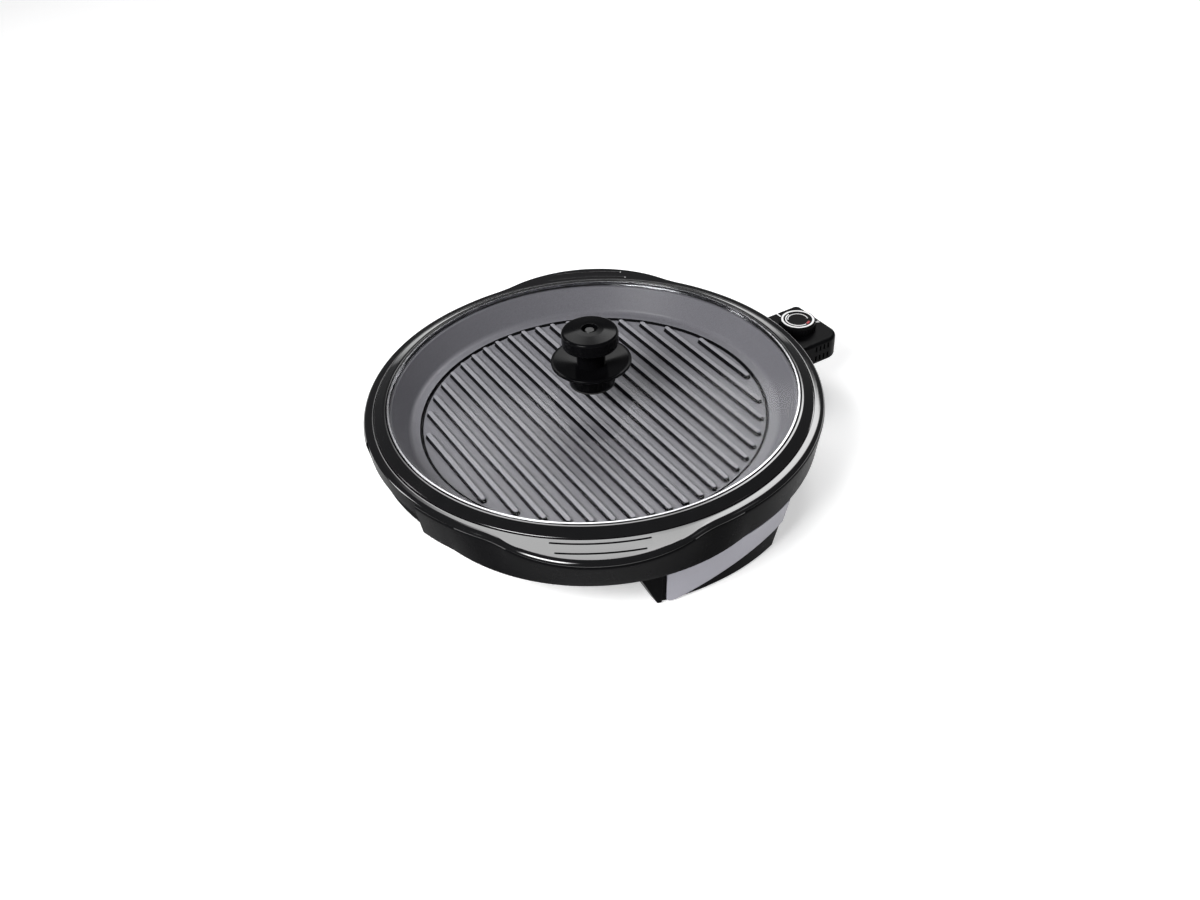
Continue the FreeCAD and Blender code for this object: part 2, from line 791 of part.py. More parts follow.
def leg_screws():
    """Long screws up through each leg's posts into the ring's bosses."""
    head_top = leg_top - leg_wall
    reach = boss_bottom - head_top + boss_screw_depth - screw_clearance
    return [screw_up(*polar(boss_circle, angle + side * leg_boss_spread), head_top, reach, screw_radius, screw_head_radius,
                     screw_head_height)
            for angle in leg_angles for side in (-1, 1)]


def dome_height(radius, height):
    """Height of a shallow dome that rises by dome_rise above height at the axis."""
    foot = lid_radius - band_sheet - glass_flat
    sphere = (foot ** 2 + dome_rise ** 2) / (2 * dome_rise)
    return height + dome_rise - sphere + math.sqrt(sphere ** 2 - radius ** 2)


def lid_glass():
    """Shallow domed glass disc with a flat margin and a hole for the knob's screw."""
    outer = lid_radius - band_sheet
    foot = outer - glass_flat

    def dome(height, reverse):
        points = [upright(r, dome_height(r, height)) for r in (knob_hole_radius, foot / 2, foot)]
        return Part.Arc(*(points[::-1] if reverse else points)).toShape()

    edges = [dome(glass_top, False), Part.makeLine(upright(foot, glass_top), upright(outer, glass_top)),
             Part.makeLine(upright(outer, glass_top), upright(outer, glass_bottom)),
             Part.makeLine(upright(outer, glass_bottom), upright(foot, glass_bottom)), dome(glass_bottom, True),
             Part.makeLine(upright(knob_hole_radius, dome_height(knob_hole_radius, glass_bottom)),
                           upright(knob_hole_radius, dome_height(knob_hole_radius, glass_top)))]
    return Part.Face(Part.Wire(edges)).revolve(ORIGIN, UP, 360)


def lid_band():
    """Bright metal band folded over the edge of the glass."""
    inside = lid_radius - band_sheet
    lip = inside - band_lip
    low = glass_bottom - band_sheet
    high = glass_top + band_sheet
    return turned([(inside, glass_bottom, 0), (lip, glass_bottom, 0), (lip, low, 0), (lid_radius, low, band_bend),
                   (lid_radius, high, band_bend), (lip, high, 0), (lip, glass_top, 0), (inside, glass_top, 0)])


def knob_seal():
    """Soft ring between the glass and the knob."""
    outer = knob_base_radius
    inner = outer - seal_width
    low_in = dome_height(inner, glass_top)
    low_out = dome_height(outer, glass_top)
    high = knob_seat + seal_thickness
    return turned(square([(inner, low_in), (outer, low_out), (outer, high), (inner, high)]))


def knob_base():
    """Cup that stands on the seal and carries the dish."""
    low = knob_seat + seal_thickness
    high = low + knob_base_height
    inner = knob_base_radius - knob_wall
    hub = knob_screw_radius + screw_clearance
    return turned([(inner, low, 0), (knob_base_radius, low, base_foot_bend), (knob_base_top_radius, high, 0), (hub, high, 0),
                   (hub, high - knob_wall, 0), (inner, high - knob_wall, base_roof_bend)])


def knob_flange():
    """Dished guard plate between the cup and the stem."""
    low = knob_seat + seal_thickness + knob_base_height
    high = low + flange_height
    hub = knob_screw_radius + screw_clearance
    dish = high - flange_dish
    return turned([(hub, low, 0), (knob_base_top_radius - knob_wall, low, flange_foot_bend),
                   (flange_radius, high - knob_wall, flange_lower_bend),
                   (flange_radius, high, flange_upper_bend), (flange_radius - knob_wall, high, flange_upper_bend),
                   (stem_radius, dish, flange_dish_bend),
                   (hub, dish, 0)])


def knob_stem():
    """Neck that the fingers close round."""
    low = knob_seat + seal_thickness + knob_base_height + flange_height - flange_dish
    high = low + stem_height
    hub = knob_screw_radius + screw_clearance
    return turned(square([(hub, low), (stem_radius, low), (stem_radius, high), (hub, high)]))


def cap_bottom():
    """Height of the knob cap's lower face."""
    return knob_seat + seal_thickness + knob_base_height + flange_height - flange_dish + stem_height


def knob_cap():
    """Round grip with a crowned top and a recess for its screw."""
    low = cap_bottom()
    high = low + cap_height
    crown = high + cap_crown
    hub = knob_screw_radius + screw_clearance
    recess = crown - cap_recess_depth
    return turned([(hub, low, 0), (cap_radius, low, cap_edge_radius), (cap_radius, high, cap_edge_radius),
                   (cap_radius / 2, crown - cap_crown / 4, cap_shoulder_bend),
                   (cap_recess_radius, crown, cap_recess_bend),
                   (cap_recess_radius, recess, 0), (hub, recess, 0)])


def knob_screw():
    """Screw from the cap's recess down through the knob and the glass."""
    head_low = cap_bottom() + cap_height + cap_crown - cap_recess_depth
    low = dome_height(0, glass_bottom) - knob_washer_thickness - knob_nut_height
    head = post(0, 0, head_low, head_low + knob_screw_head_height, knob_screw_head_radius)
    head = head.makeFillet(knob_screw_head_height / 3, [edge for edge in head.Edges if edge.BoundBox.ZMin > head_low + 0.1])
    return head.fuse(post(0, 0, low, head_low, knob_screw_radius)).removeSplitter()


def knob_washer():
    """Washer under the glass."""
    high = dome_height(knob_washer_radius, glass_bottom)
    hub = knob_screw_radius + screw_clearance
    return turned(square([(hub, high - knob_washer_thickness), (knob_washer_radius, high - knob_washer_thickness),
                          (knob_washer_radius, high), (hub, high)]))


def knob_nut():
    """Hexagon nut that draws the knob down."""
    high = dome_height(knob_washer_radius, glass_bottom) - knob_washer_thickness
    corners = square([polar(knob_nut_radius, 60 * i) for i in range(6)])
    nut = prism(corners, high - knob_nut_height, high)
    return nut.cut(post(0, 0, high - knob_nut_height, high, knob_screw_radius + screw_clearance))


def control_plan(inset):
    """Plan corners of the heat control's housing, drawn in by inset."""
    start = control_start + inset
    end = control_end - inset
    half = control_half_width - inset
    return [(start, -half, control_inner_corner - inset), (end, -half, control_outer_corner - inset),
            (end, half, control_far_corner - inset), (start, half, control_inner_corner - inset)]


def control_posts():
    """Plan positions of the housing's four screw posts."""
    inner = control_start + screw_post_inset
    outer = control_end - outer_post_inset
    half = control_half_width - screw_post_inset
    return [(inner, -half), (inner, half), (outer, outer_post_inset - control_half_width), (outer, half)]


def end_vents(side, level):
    """Vent slots through one end wall, above the parting line for level 1 and below it for -1."""
    near = level * vent_parting_gap
    far = level * (vent_parting_gap + vent_height)
    low = element_height + min(near, far)
    high = element_height + max(near, far)
    outer = side * control_half_width
    inner = side * (control_half_width - control_wall)
    first = control_start + vent_offset - (vent_columns - 1) * vent_pitch / 2
    slots = []
    for column in range(vent_columns):
        middle = first + column * vent_pitch
        slots.append(block(middle - vent_width / 2, middle + vent_width / 2, min(inner, outer), max(inner, outer), low, high))
    return slots


def nose_hole():
    """Space that the contact block takes in the housing's inner wall."""
    return block(control_start, control_start + control_wall, -nose_half_width - fit_gap, nose_half_width + fit_gap,
                 element_height - nose_half_height - fit_gap, element_height + nose_half_height + fit_gap)


def outlet_hole():
    """Space that the cord outlet takes in the housing's outer wall."""
    return rod(control_end - control_wall, control_wall, outlet_offset, element_height, outlet_radius)


def control_shell(level):
    """One half of the housing in place along X: level 1 is the cover and -1 the tray."""
    face = control_top if level == 1 else control_bottom
    low, high = sorted((element_height, face))
    shell = prism(control_plan(0), low, high)
    rim = [edge for edge in shell.Edges
           if abs(edge.BoundBox.ZMin - face) < 1e-6 and abs(edge.BoundBox.ZMax - face) < 1e-6]
    shell = shell.makeFillet(control_top_edge if level == 1 else control_bottom_edge, rim)
    inner = face - level * control_wall
    shell = shell.cut(prism(control_plan(control_wall), *sorted((element_height, inner))))
    posts = [post(x, y, *sorted((element_height, inner)), screw_post_radius) for x, y in control_posts()]
    shell = shell.multiFuse(posts)
    cuts = end_vents(1, level) + end_vents(-1, level) + [nose_hole(), outlet_hole()]
    return shell.cut(cuts)


def control_cover():
    """Upper half of the housing, with the hole for the dial's bush and blind screw holes."""
    cover = control_shell(1)
    cuts = [post(dial_at, 0, control_top - control_wall, control_top, bush_radius + bush_gap)]
    depth = control_rise - control_wall
    cuts += [post(x, y, element_height, element_height + depth, small_screw_radius + screw_clearance)
             for x, y in control_posts()]
    return rotated(cover.cut(cuts), axis_angle)


def control_tray():
    """Lower half of the housing, with screw holes."""
    cuts = [post(x, y, control_bottom, element_height, small_screw_radius + screw_clearance) for x, y in control_posts()]
    cuts += [post(x, y, control_bottom, control_bottom + small_head_height, small_head_radius + screw_clearance)
             for x, y in control_posts()]
    return rotated(control_shell(-1).cut(cuts), axis_angle)


def control_screws():
    """Screws that close the housing from below."""
    head_top = control_bottom + small_head_height
    reach = control_drop - small_head_height + control_rise - control_wall - screw_clearance
    screws = [screw_up(x, y, head_top, reach, small_screw_radius, small_head_radius, small_head_height)
              for x, y in control_posts()]
    return [rotated(screw, axis_angle) for screw in screws]


def contact_block():
    """Insulating nose that carries the contacts and the heat sensor."""
    end = control_start + nose_tail
    nose = block(nose_tip, end, -nose_half_width, nose_half_width, element_height - nose_half_height,
                 element_height + nose_half_height)
    nose = nose.makeFillet(nose_bend, [edge for edge in nose.Edges if edge.BoundBox.XMax < nose_tip + 0.1])
    length = end - nose_tip
    for side in (-1, 1):
        nose = nose.cut(rod(nose_tip, length, side * pin_spread, element_height, receptacle_radius))
    return rotated(nose.cut(rod(nose_tip, length, 0, element_height, sensor_radius)), axis_angle)


def receptacles():
    """Two sprung sleeves in the nose that take the element's pins."""
    start = nose_tip + receptacle_start
    sleeves = []
    for side in (-1, 1):
        sleeve = rod(start, receptacle_length, side * pin_spread, element_height, receptacle_radius)
        bore = rod(start, receptacle_length - receptacle_start, side * pin_spread, element_height,
                   pin_radius + receptacle_gap)
        sleeves.append(rotated(sleeve.cut(bore), axis_angle))
    return sleeves


def heat_sensor():
    """Round-nosed sensor rod that reaches into the plate's pocket."""
    start = pocket_start + pocket_end_wall + sensor_tip_gap
    end = control_start + sensor_tail
    bar = rod(start + sensor_radius, end - start - sensor_radius, 0, element_height, sensor_radius)
    tip = Part.makeSphere(sensor_radius, V(start + sensor_radius, 0, element_height))
    return rotated(bar.fuse(tip).removeSplitter(), axis_angle)


def thermostat():
    """Switch block inside the housing with the bush that the dial's shaft turns in."""
    start = control_start + nose_tail + thermostat_gap
    bottom = control_bottom + control_wall
    top = element_height + thermostat_rise
    body = block(start, start + thermostat_length, -thermostat_half_width, thermostat_half_width, bottom, top)
    body = body.makeFillet(thermostat_bend, [edge for edge in body.Edges if edge.BoundBox.ZLength > top - bottom - 0.1])
    bush = post(dial_at, 0, top, control_top - fit_gap, bush_radius)
    bore = post(dial_at, 0, shaft_foot(), control_top, shaft_radius + shaft_gap)
    return rotated(body.fuse(bush).removeSplitter().cut(bore), axis_angle)


def shaft_foot():
    """Height of the lower end of the dial's shaft bore."""
    return control_top - shaft_depth


def dial_shaft():
    """Shaft from the switch up into the dial."""
    low = shaft_foot() + dial_gap
    high = control_top + dial_gap + dial_socket
    return rotated(post(dial_at, 0, low, high, shaft_radius), axis_angle)


def dial():
    """Fluted heat dial that sits over the housing."""
    low = control_top + dial_gap
    high = low + dial_height
    body = turned([(0, low, 0), (dial_radius, low, 0), (dial_radius, low + flute_height, 0),
                   (dial_top_radius, high, dial_top_edge), (0, high, 0)])
    cuts = [post(*polar(dial_radius + flute_radius / 3, 360 * i / flute_count), low, low + flute_height, flute_radius)
            for i in range(flute_count)]
    cuts.append(post(0, 0, low, low + dial_socket, shaft_radius))
    body = body.cut(cuts)
    body.translate(V(dial_at, 0, 0))
    return rotated(body, axis_angle)


def cord_outlet():
    """Grommet where the mains lead goes in."""
    start = control_end - control_wall
    sleeve = rod(start, control_wall + outlet_flange, outlet_offset, element_height, outlet_radius)
    inside = rod(start - outlet_flange, outlet_flange, outlet_offset, element_height, outlet_flange_radius)
    outside = rod(control_end, outlet_flange, outlet_offset, element_height, outlet_flange_radius)
    grommet = sleeve.multiFuse([inside, outside]).removeSplitter()
    bore = rod(start - outlet_flange, control_wall + 2 * outlet_flange, outlet_offset, element_height, outlet_bore)
    return rotated(grommet.cut(bore), axis_angle)


def pieces():
    """Every node with its solid or group of solids."""
    nodes = {
        "base_ring": base_ring(), "grill_plate": grill_plate(), "heat_shield": heat_shield(),
        "heating_element": heating_element(), "terminal_pins": terminal_pins(), "terminal_beads": terminal_beads(),
        "element_clips": element_clips(), "clip_screws": clip_screws(), "terminal_guard": terminal_guard(),
        "guard_screws": guard_screws(), "shield_screws": shield_screws(), "plate_screws": plate_screws(),
        "leg_screws": leg_screws(), "leg_pads": leg_pads(), "lid_glass": lid_glass(), "lid_band": lid_band(),
        "knob_seal": knob_seal(), "knob_base": knob_base(), "knob_flange": knob_flange(), "knob_stem": knob_stem(),
        "knob_cap": knob_cap(), "knob_screw": knob_screw(), "knob_washer": knob_washer(), "knob_nut": knob_nut(),
        "control_cover": control_cover(), "control_tray": control_tray(), "control_screws": control_screws(),
        "contact_block": contact_block(), "receptacles": receptacles(), "heat_sensor": heat_sensor(),
        "thermostat": thermostat(), "dial": dial(), "dial_shaft": dial_shaft(), "cord_outlet": cord_outlet(),
    }
    for name, angle in zip(("front", "rear"), leg_angles):
        nodes["leg_" + name] = rotated(leg(), angle)
        nodes["leg_panel_" + name] = rotated(leg_panel(), angle)
    return {name: Part.makeCompound(shape) if isinstance(shape, list) else shape for name, shape in nodes.items()}


def main():
    """Sets the origin under the middle of the whole grill and writes one file for each node."""
    nodes = pieces()
    box = Part.makeCompound(list(nodes.values())).optimalBoundingBox()
    origin = V(-box.Center.x, -box.Center.y, -box.ZMin)
    os.makedirs("parts", exist_ok=True)
    for name, shape in nodes.items():
        placed = shape.copy()
        placed.translate(origin)
        placed.exportStep("parts/" + name + ".step")
        print(name, "solids", len(placed.Solids), "valid", placed.isValid(), "volume", round(placed.Volume, 1))
    print("grill axis at", tuple(round(value, 4) for value in origin))


main()
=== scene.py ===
"""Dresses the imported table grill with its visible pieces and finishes, and sets it in a small studio."""
import json
import math
from types import SimpleNamespace as Sizes

import bmesh
import bpy
from bpy.props import FloatProperty, FloatVectorProperty, IntProperty, PointerProperty
from mathutils import Matrix, Vector


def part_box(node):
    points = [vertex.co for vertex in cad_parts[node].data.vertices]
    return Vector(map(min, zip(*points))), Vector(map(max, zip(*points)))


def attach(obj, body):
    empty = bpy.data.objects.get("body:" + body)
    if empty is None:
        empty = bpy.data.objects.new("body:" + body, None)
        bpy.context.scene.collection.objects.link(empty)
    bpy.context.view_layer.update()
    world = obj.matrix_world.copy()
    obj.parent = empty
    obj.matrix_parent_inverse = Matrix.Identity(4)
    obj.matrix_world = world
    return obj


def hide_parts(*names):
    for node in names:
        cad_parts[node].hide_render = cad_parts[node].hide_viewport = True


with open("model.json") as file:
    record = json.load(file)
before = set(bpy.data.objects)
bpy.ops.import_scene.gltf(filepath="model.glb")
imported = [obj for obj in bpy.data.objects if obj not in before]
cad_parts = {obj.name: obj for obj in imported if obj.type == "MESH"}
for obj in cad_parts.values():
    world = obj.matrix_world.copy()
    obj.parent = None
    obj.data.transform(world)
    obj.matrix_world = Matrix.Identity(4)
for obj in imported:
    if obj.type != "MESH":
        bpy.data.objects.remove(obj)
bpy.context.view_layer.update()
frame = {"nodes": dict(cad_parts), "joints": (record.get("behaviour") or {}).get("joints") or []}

bl_info = {
    "name": "Table grill",
    "version": (1, 0, 0),
    "blender": (4, 5, 0),
    "location": "View3D > Sidebar > Grill",
    "description": "Makes the visible pieces of a round table grill over its packed model",
    "category": "Object",
}

MM = 0.001


def foot_of(node):
    """Point on the table under the middle of a CAD node's box."""
    low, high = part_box(node)
    centre = (low + high) / 2
    return Vector((centre.x, centre.y, 0.0))


def joint_axis(name):
    """Direction of a joint of the record."""
    return Vector(next(joint["axis"] for joint in frame["joints"] if joint["name"] == name))


# Where the upright axes of the grill and its dial stand, and the angle at which the heat control points out
axis = foot_of("lid_glass")
dial_axis = foot_of("dial_shaft")
plug = joint_axis("control_plug")
plug_angle = math.atan2(plug.y, plug.x)

# Ring: sizes in millimetres and angles in degrees, as in the solids
RING = Sizes(plate=200.0, play=0.7, ledge=78.0, rebate_edge=0.4, bottom=45.0, top=80.0, wall=3.0, edge=5.0)
RING_TOP = Sizes(radius=211.0, nose=118.0, nose_at=112.0, blend=100.0)
RING_FOOT = Sizes(radius=206.0, nose=170.0, nose_at=47.3, blend=100.0)
ROOF_FALL = math.tan(math.radians(1.5))
COLLAR = Sizes(inner=192.7, outer=195.7, foot=66.0, head=77.0)
PORT = Sizes(half_angle=14.0, top=66.0, corner=6.0, step=208.5)
PORT_ANGLES = (math.degrees(plug_angle), math.degrees(plug_angle) + 180.0)

# Ring's sections: how many, how many more round a port's corner, and gaps in degrees outside and inside
# a port's edge and between any two
SECTIONS = Sizes(count=480, corner=6, outside=0.02, inside=1e-4, apart=0.05)

# Screw bosses under the ring: their sizes, and each pair's name, first angle and step
BOSS = Sizes(bore=1.9, radius=4.0, edge=0.5, foot=50.0, head=77.2, reach=198.8)
BOSS_PAIRS = (("shield_bosses", 0.0, 60.0), ("shield_bosses_far", 180.0, 60.0),
              ("leg_bosses", -74.0, 28.0), ("leg_bosses_far", 106.0, 28.0))

# Handles: where the grooves start to follow them, each groove's radius and half angle, and a groove's section
HANDLE_ANGLES = (90.0, 270.0)
HANDLE_SPREAD = Sizes(half_angle=24.0, blend=10.0)
GROOVES = ((205.4, 11.3), (216.1, 9.6))
GROOVE_SECTION = ((-1.0, 0.0), (-0.8, 0.1), (-0.4, 0.9), (0.0, 1.0), (0.4, 0.9), (0.8, 0.1), (1.0, 0.0))
GROOVE_RUN_OUT = (0.0, 0.1, 0.25, 0.45)

# Skirt: shares of its height at which it has a row, and the way in and up along its rounded foot
SKIRT_ROWS = (0.15, 0.35, 0.55, 0.75, 0.9)
SKIRT_FOOT = ((0.0, 0.5), (0.15, 0.15), (0.5, 0.0), (2.6, 0.0), (3.0, 0.4))

# Plate, lid, knob and dial: radii and heights in millimetres, as in the solids
PLATE = Sizes(floor=55.0, groove_in=158.8, groove_out=161.2, groove_floor=53.8, ledge=56.5, wall_foot=171.0,
              wall_head=184.0, seat=80.1, seat_edge=188.8, lip=85.0, lip_edge=191.2, rim=200.0, rim_top=80.5,
              rebate=196.8, rebate_top=79.25, lip_under=192.0, seat_under=76.9, seat_under_in=185.6,
              seat_under_out=190.4, under=51.8, under_edge=174.2, pad=48.9, pad_in=104.0, pad_out=126.0)
# Of the rib's sizes, corner is the height above the floor up to which its foot takes painted shade
RIB = Sizes(root=0.6, fillet=0.5, fillet_foot=0.04, fillet_head=0.2, crest_edge=0.7, corner=0.4)
LID = Sizes(hole=4.2, radius=187.4, top=84.5, under=81.0, edge=0.5, dome_foot=182.4, rise=5.5)
PANE_ROWS = Sizes(inner=20.0, first=30.0, step=8.47, count=19, outer=184.5)
BAND = Sizes(inner=186.0, outer=188.0, foot=80.4, top=85.1)
KNOB = Sizes(bore=2.6, foot=91.0, cup=18.5, cup_foot=21.0, cup_head=24.0, cup_roof=105.5, cup_top=108.0,
             guard=36.5, guard_foot=21.5, guard_low=112.0, guard_top=114.5, guard_lip=34.0, neck=13.0,
             neck_foot=110.5, grip=25.6, grip_foot=130.5, grip_edge=144.5, crown=146.75, top=147.4,
             recess=7.0, recess_floor=142.5)
DIAL = Sizes(radius=18.0, top_radius=17.6, foot=57.5, shoulder=64.5, top=67.5)
RIDGE = Sizes(radius=0.75, reach=17.72, foot=57.6, shoulder=64.2, top=64.8)

# Index line and point on the heat control: half widths and ends from the dial's axis, and the point's turn
INDEX = Sizes(half=0.8, near=24.5, far=33.0)
POINT = Sizes(half=2.2, near=20.0, far=26.0, tip=0.3, corner=0.8, turn=8.0)

# Scale on the dial: inner and outer radius of its ring, and each arc's radii, its ends in degrees and its ink
SCALE_RING = Sizes(inner=14.4, outer=16.5)
SCALE_ARCS = (("scale_arc_low", 11.4, 12.6, 128.0, 304.0, "white_print"),
              ("scale_arc_high", 9.4, 10.3, 2.0, 182.0, "white_print"),
              ("scale_hot", 10.6, 12.8, 310.0, 336.0, "red_print"))

# Printed marks: how deep they sit in a face and how far they stand out of it, in millimetres
INK = Sizes(sunk=0.1, proud=0.06)

# Steps round the turned pieces, angle in degrees that stays sharp, and weld of repeated pieces in metres
SEGMENTS = Sizes(plate=288, pane=240, knob=144, print=96, boss=24, ridge=10)
SHARP_ANGLE = 32.0
WELD = 1e-5

# Upward share of a normal below which a face is the ring's wall, or a rib's side that takes painted shade
UPWARD = Sizes(wall=0.35, flank=0.6)

# Margins in millimetres by which the plate's glossy rim and the painted shade in its groove reach past their
# edges
MARGIN = Sizes(rim=0.1, ledge=0.5, groove=0.3, groove_floor=0.8)

# Levels of a noise between which a finish changes
NOISE_RANGE = (0.3, 0.7)

# Rounding of the edges of the leg panels and of the heat control
PANEL_EDGE = 0.7 * MM
CONTROL_EDGE = 0.4 * MM

# Lamps: name, azimuth, elevation, distance, size, radiance, and the shares of the two half sizes that fade
LAMPS = (
    ("back_box", 24.0, 45.0, 2.0, (0.9, 0.85), 6.5, (0.6, 0.3)),
    ("back_left_box", -6.0, 46.0, 2.1, (0.9, 0.8), 4.4, (0.45, 0.3)),
    ("front_box", -140.0, 42.0, 1.8, (1.1, 0.8), 20.0, (0.6, 0.6)),
    ("left_strip", -80.0, 30.0, 1.6, (0.3, 0.6), 7.0, (0.4, 0.4)),
    ("right_strip", 105.0, 40.0, 1.6, (0.2, 0.4), 0.8, (0.4, 0.4)),
)
LAMP_AIM = Vector((0, 0, 0.06))
LAMP_POWER = 4.0
TABLE_RADIUS = 12.0
TABLE_GLOW = 0.5


def length(name, description, default):
    """Setting of a length in metres."""
    return FloatProperty(name=name, description=description, default=default, unit="LENGTH")


def hue(name, description, default):
    """Setting of a colour."""
    return FloatVectorProperty(
        name=name, description=description, default=default, subtype="COLOR", min=0, max=1)


class GrillSizes(bpy.types.PropertyGroup):
    """Sizes of the visible pieces that a user may change."""
    rib_count: IntProperty(
        name="Ribs", description="Number of ribs across the plate", default=20, min=2)
    rib_pitch: length("Rib pitch", "Distance from rib to rib", 0.01545)
    rib_width: length("Rib width", "Width of a rib at its foot", 0.0058)
    rib_crest: length("Rib crest", "Width of a rib at its top", 0.0044)
    rib_height: length("Rib height", "Height of a rib above the floor", 0.004)
    rib_field: length("Rib field", "Radius that the ribs stay within", 0.1576)
    rib_shift: length("Rib shift", "Offset of the ribs from the axis", 0.0026)
    groove_depth: length("Groove depth", "Depth of the handle's grooves", 0.001)
    grip_count: IntProperty(
        name="Grip ridges", description="Number of ridges round the dial", default=36, min=3)
    edge: length("Edge", "Rounding of the moulded edges", 0.0006)


class GrillFinishes(bpy.types.PropertyGroup):
    """Colours of the finishes, among them a lighter painted highlight on the rib tops and a near black
    painted shade on the rib sides and in the plate's groove.
    """
    plastic: hue("Gloss plastic", "Colour of the ring, legs and knob", (0.003, 0.003, 0.0035))
    housing: hue("Control plastic", "Colour of the heat control", (0.0035, 0.0035, 0.004))
    coating: hue("Plate coating", "Colour of the non-stick coating", (0.175, 0.172, 0.191))
    # Lighter copy of the coating, painted as a highlight on the ribs' tops
    crest: hue("Rib crest", "Colour of the coating on the tops of the ribs", (0.27, 0.266, 0.29))
    # Near black copy of the coating, painted as shade on the ribs' sides and feet and in the plate's groove
    flank: hue("Rib flank", "Colour of the coating in the corners of the ribs", (0.004, 0.004, 0.005))
    silver: hue("Panel silver", "Colour of the leg panels", (0.36, 0.355, 0.4))
    print_white: hue("Print", "Colour of the dial's printed marks", (0.85, 0.85, 0.85))
    print_red: hue("Red mark", "Colour of the dial's hottest range", (0.45, 0.01, 0.02))
    floor: hue("Floor", "Colour of the table top", (0.86, 0.86, 0.86))


class GrillStudio(bpy.types.PropertyGroup):
    """Camera and lamp settings."""
    lens: FloatProperty(
        name="Lens", description="Focal length on a 36 mm sensor", default=34.5)
    distance: length("Distance", "Camera to aiming point", 1.09975)
    elevation: FloatProperty(
        name="Elevation", description="Camera's height angle",
        default=math.radians(38.54), subtype="ANGLE")
    roll: FloatProperty(
        name="Roll", description="Camera's turn about its view",
        default=math.radians(-3.105), subtype="ANGLE")
    aim: FloatVectorProperty(
        name="Aim", description="Aiming point from the grill's axis", size=3, subtype="XYZ",
        default=(0.00353, 0.0, 0.00929))
    ambient: FloatProperty(
        name="Ambient", description="Level of the room's light", default=0.14, min=0)


# Outlines and meshes

def rounded(corners, step=9.0, closed=True, count=None):
    """Outline through (a, b, radius) corners, rounded in steps of some degrees or in a count of steps."""
    points = []
    total = len(corners)
    for index, (a, b, radius) in enumerate(corners):
        here = Vector((a, b))
        ends = not closed and index in (0, total - 1)
        if radius <= 0 or ends:
            points.append(here)
            continue
        back = (Vector(corners[index - 1][:2]) - here).normalized()
        onward = (Vector(corners[(index + 1) % total][:2]) - here).normalized()
        half = back.angle(onward) / 2
        centre = here + (back + onward).normalized() * (radius / math.sin(half))
        first = here + back * (radius / math.tan(half)) - centre
        last = here + onward * (radius / math.tan(half)) - centre
        turn = math.atan2(first.cross(last), first.dot(last))
        steps = count or max(2, math.ceil(abs(math.degrees(turn)) / step))
        for stop in range(steps + 1):
            points.append(centre + Matrix.Rotation(turn * stop / steps, 2) @ first)
    return points


def lathe(outline, segments):
    """Mesh turned about Z from a closed outline of (radius, height) points in millimetres."""
    bm = bmesh.new()
    rows = []
    for radius, height in outline:
        if radius == 0:
            rows.append([bm.verts.new((0, 0, height * MM))] * segments)
            continue
        row = []
        for stop in range(segments):
            angle = math.radians(360.0 * stop / segments)
            across, along = radius * MM * math.cos(angle), radius * MM * math.sin(angle)
            row.append(bm.verts.new((across, along, height * MM)))
        rows.append(row)
    quads_between(bm, rows, True)
    return bm


def quads_between(bm, rows, around):
    """Joins neighbouring rows of vertices, and the last row to the first, by faces."""
    for index, row in enumerate(rows):
        following = rows[(index + 1) % len(rows)]
        stops = len(row) if around else len(row) - 1
        for stop in range(stops):
            after = (stop + 1) % len(row)
            corners = []
            for vert in (row[stop], row[after], following[after], following[stop]):
                if vert not in corners:
                    corners.append(vert)
            if len(corners) > 2:
                bm.faces.new(corners)


def prism(outline, low, high):
    """Upright prism over a plan outline in millimetres."""
    bm = bmesh.new()
    bottom = [bm.verts.new((p[0] * MM, p[1] * MM, low * MM)) for p in outline]
    top = [bm.verts.new((p[0] * MM, p[1] * MM, high * MM)) for p in outline]
    bm.faces.new(bottom[::-1])
    bm.faces.new(top)
    for index in range(len(outline)):
        after = (index + 1) % len(outline)
        bm.faces.new((bottom[index], bottom[after], top[after], top[index]))
    return bm


def arc_strip(inner, outer, start, end, steps=48):
    """Plan outline of a band of arc with square ends."""
    angles = [math.radians(start + (end - start) * i / steps) for i in range(steps + 1)]
    far = [(outer * math.cos(a), outer * math.sin(a)) for a in angles]
    near = [(inner * math.cos(a), inner * math.sin(a)) for a in reversed(angles)]
    return far + near


def placed(shape, where, turn=0.0):
    """Moves a mesh that was drawn about the origin to its place."""
    shape.transform(Matrix.Translation(where) @ Matrix.Rotation(turn, 4, "Z"))
    return shape


def to_mesh(bm, name):
    """Plain mesh with its faces turned outwards."""
    bmesh.ops.recalc_face_normals(bm, faces=bm.faces)
    mesh = bpy.data.meshes.new(name)
    bm.to_mesh(mesh)
    bm.free()
    return mesh


def linked(name, mesh):
    """Object of a mesh in the scene."""
    thing = bpy.data.objects.new(name, mesh)
    bpy.context.scene.collection.objects.link(thing)
    return thing


def settled(thing):
    """Turns an object's evaluated shape into its plain mesh and removes the modifiers."""
    bpy.context.view_layer.update()
    shape = bpy.data.meshes.new_from_object(thing.evaluated_get(bpy.context.evaluated_depsgraph_get()))
    thing.modifiers.clear()
    thing.data = shape
    return thing


def soft_shaded(thing):
    """Smooth shading that stays flat on flat faces and breaks at sharp edges."""
    thing.data.polygons.foreach_set("use_smooth", [True] * len(thing.data.polygons))
    thing.data.set_sharp_from_angle(angle=math.radians(SHARP_ANGLE))
    weight = thing.modifiers.new("Even shading", "WEIGHTED_NORMAL")
    weight.keep_sharp = True
    return settled(thing)


def dressed(thing, material, body, slot, *nodes):
    """Gives a finished piece its material and body, and hides the nodes it stands for. The slot is not used.
    """
    thing.data.materials.clear()
    thing.data.materials.append(material)
    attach(thing, body)
    if nodes:
        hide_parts(*nodes)
    return thing


def piece(name, bm, material, body, slot, *nodes):
    """Finished piece from a mesh in place."""
    return dressed(soft_shaded(linked(name, to_mesh(bm, name))), material, body, slot, *nodes)


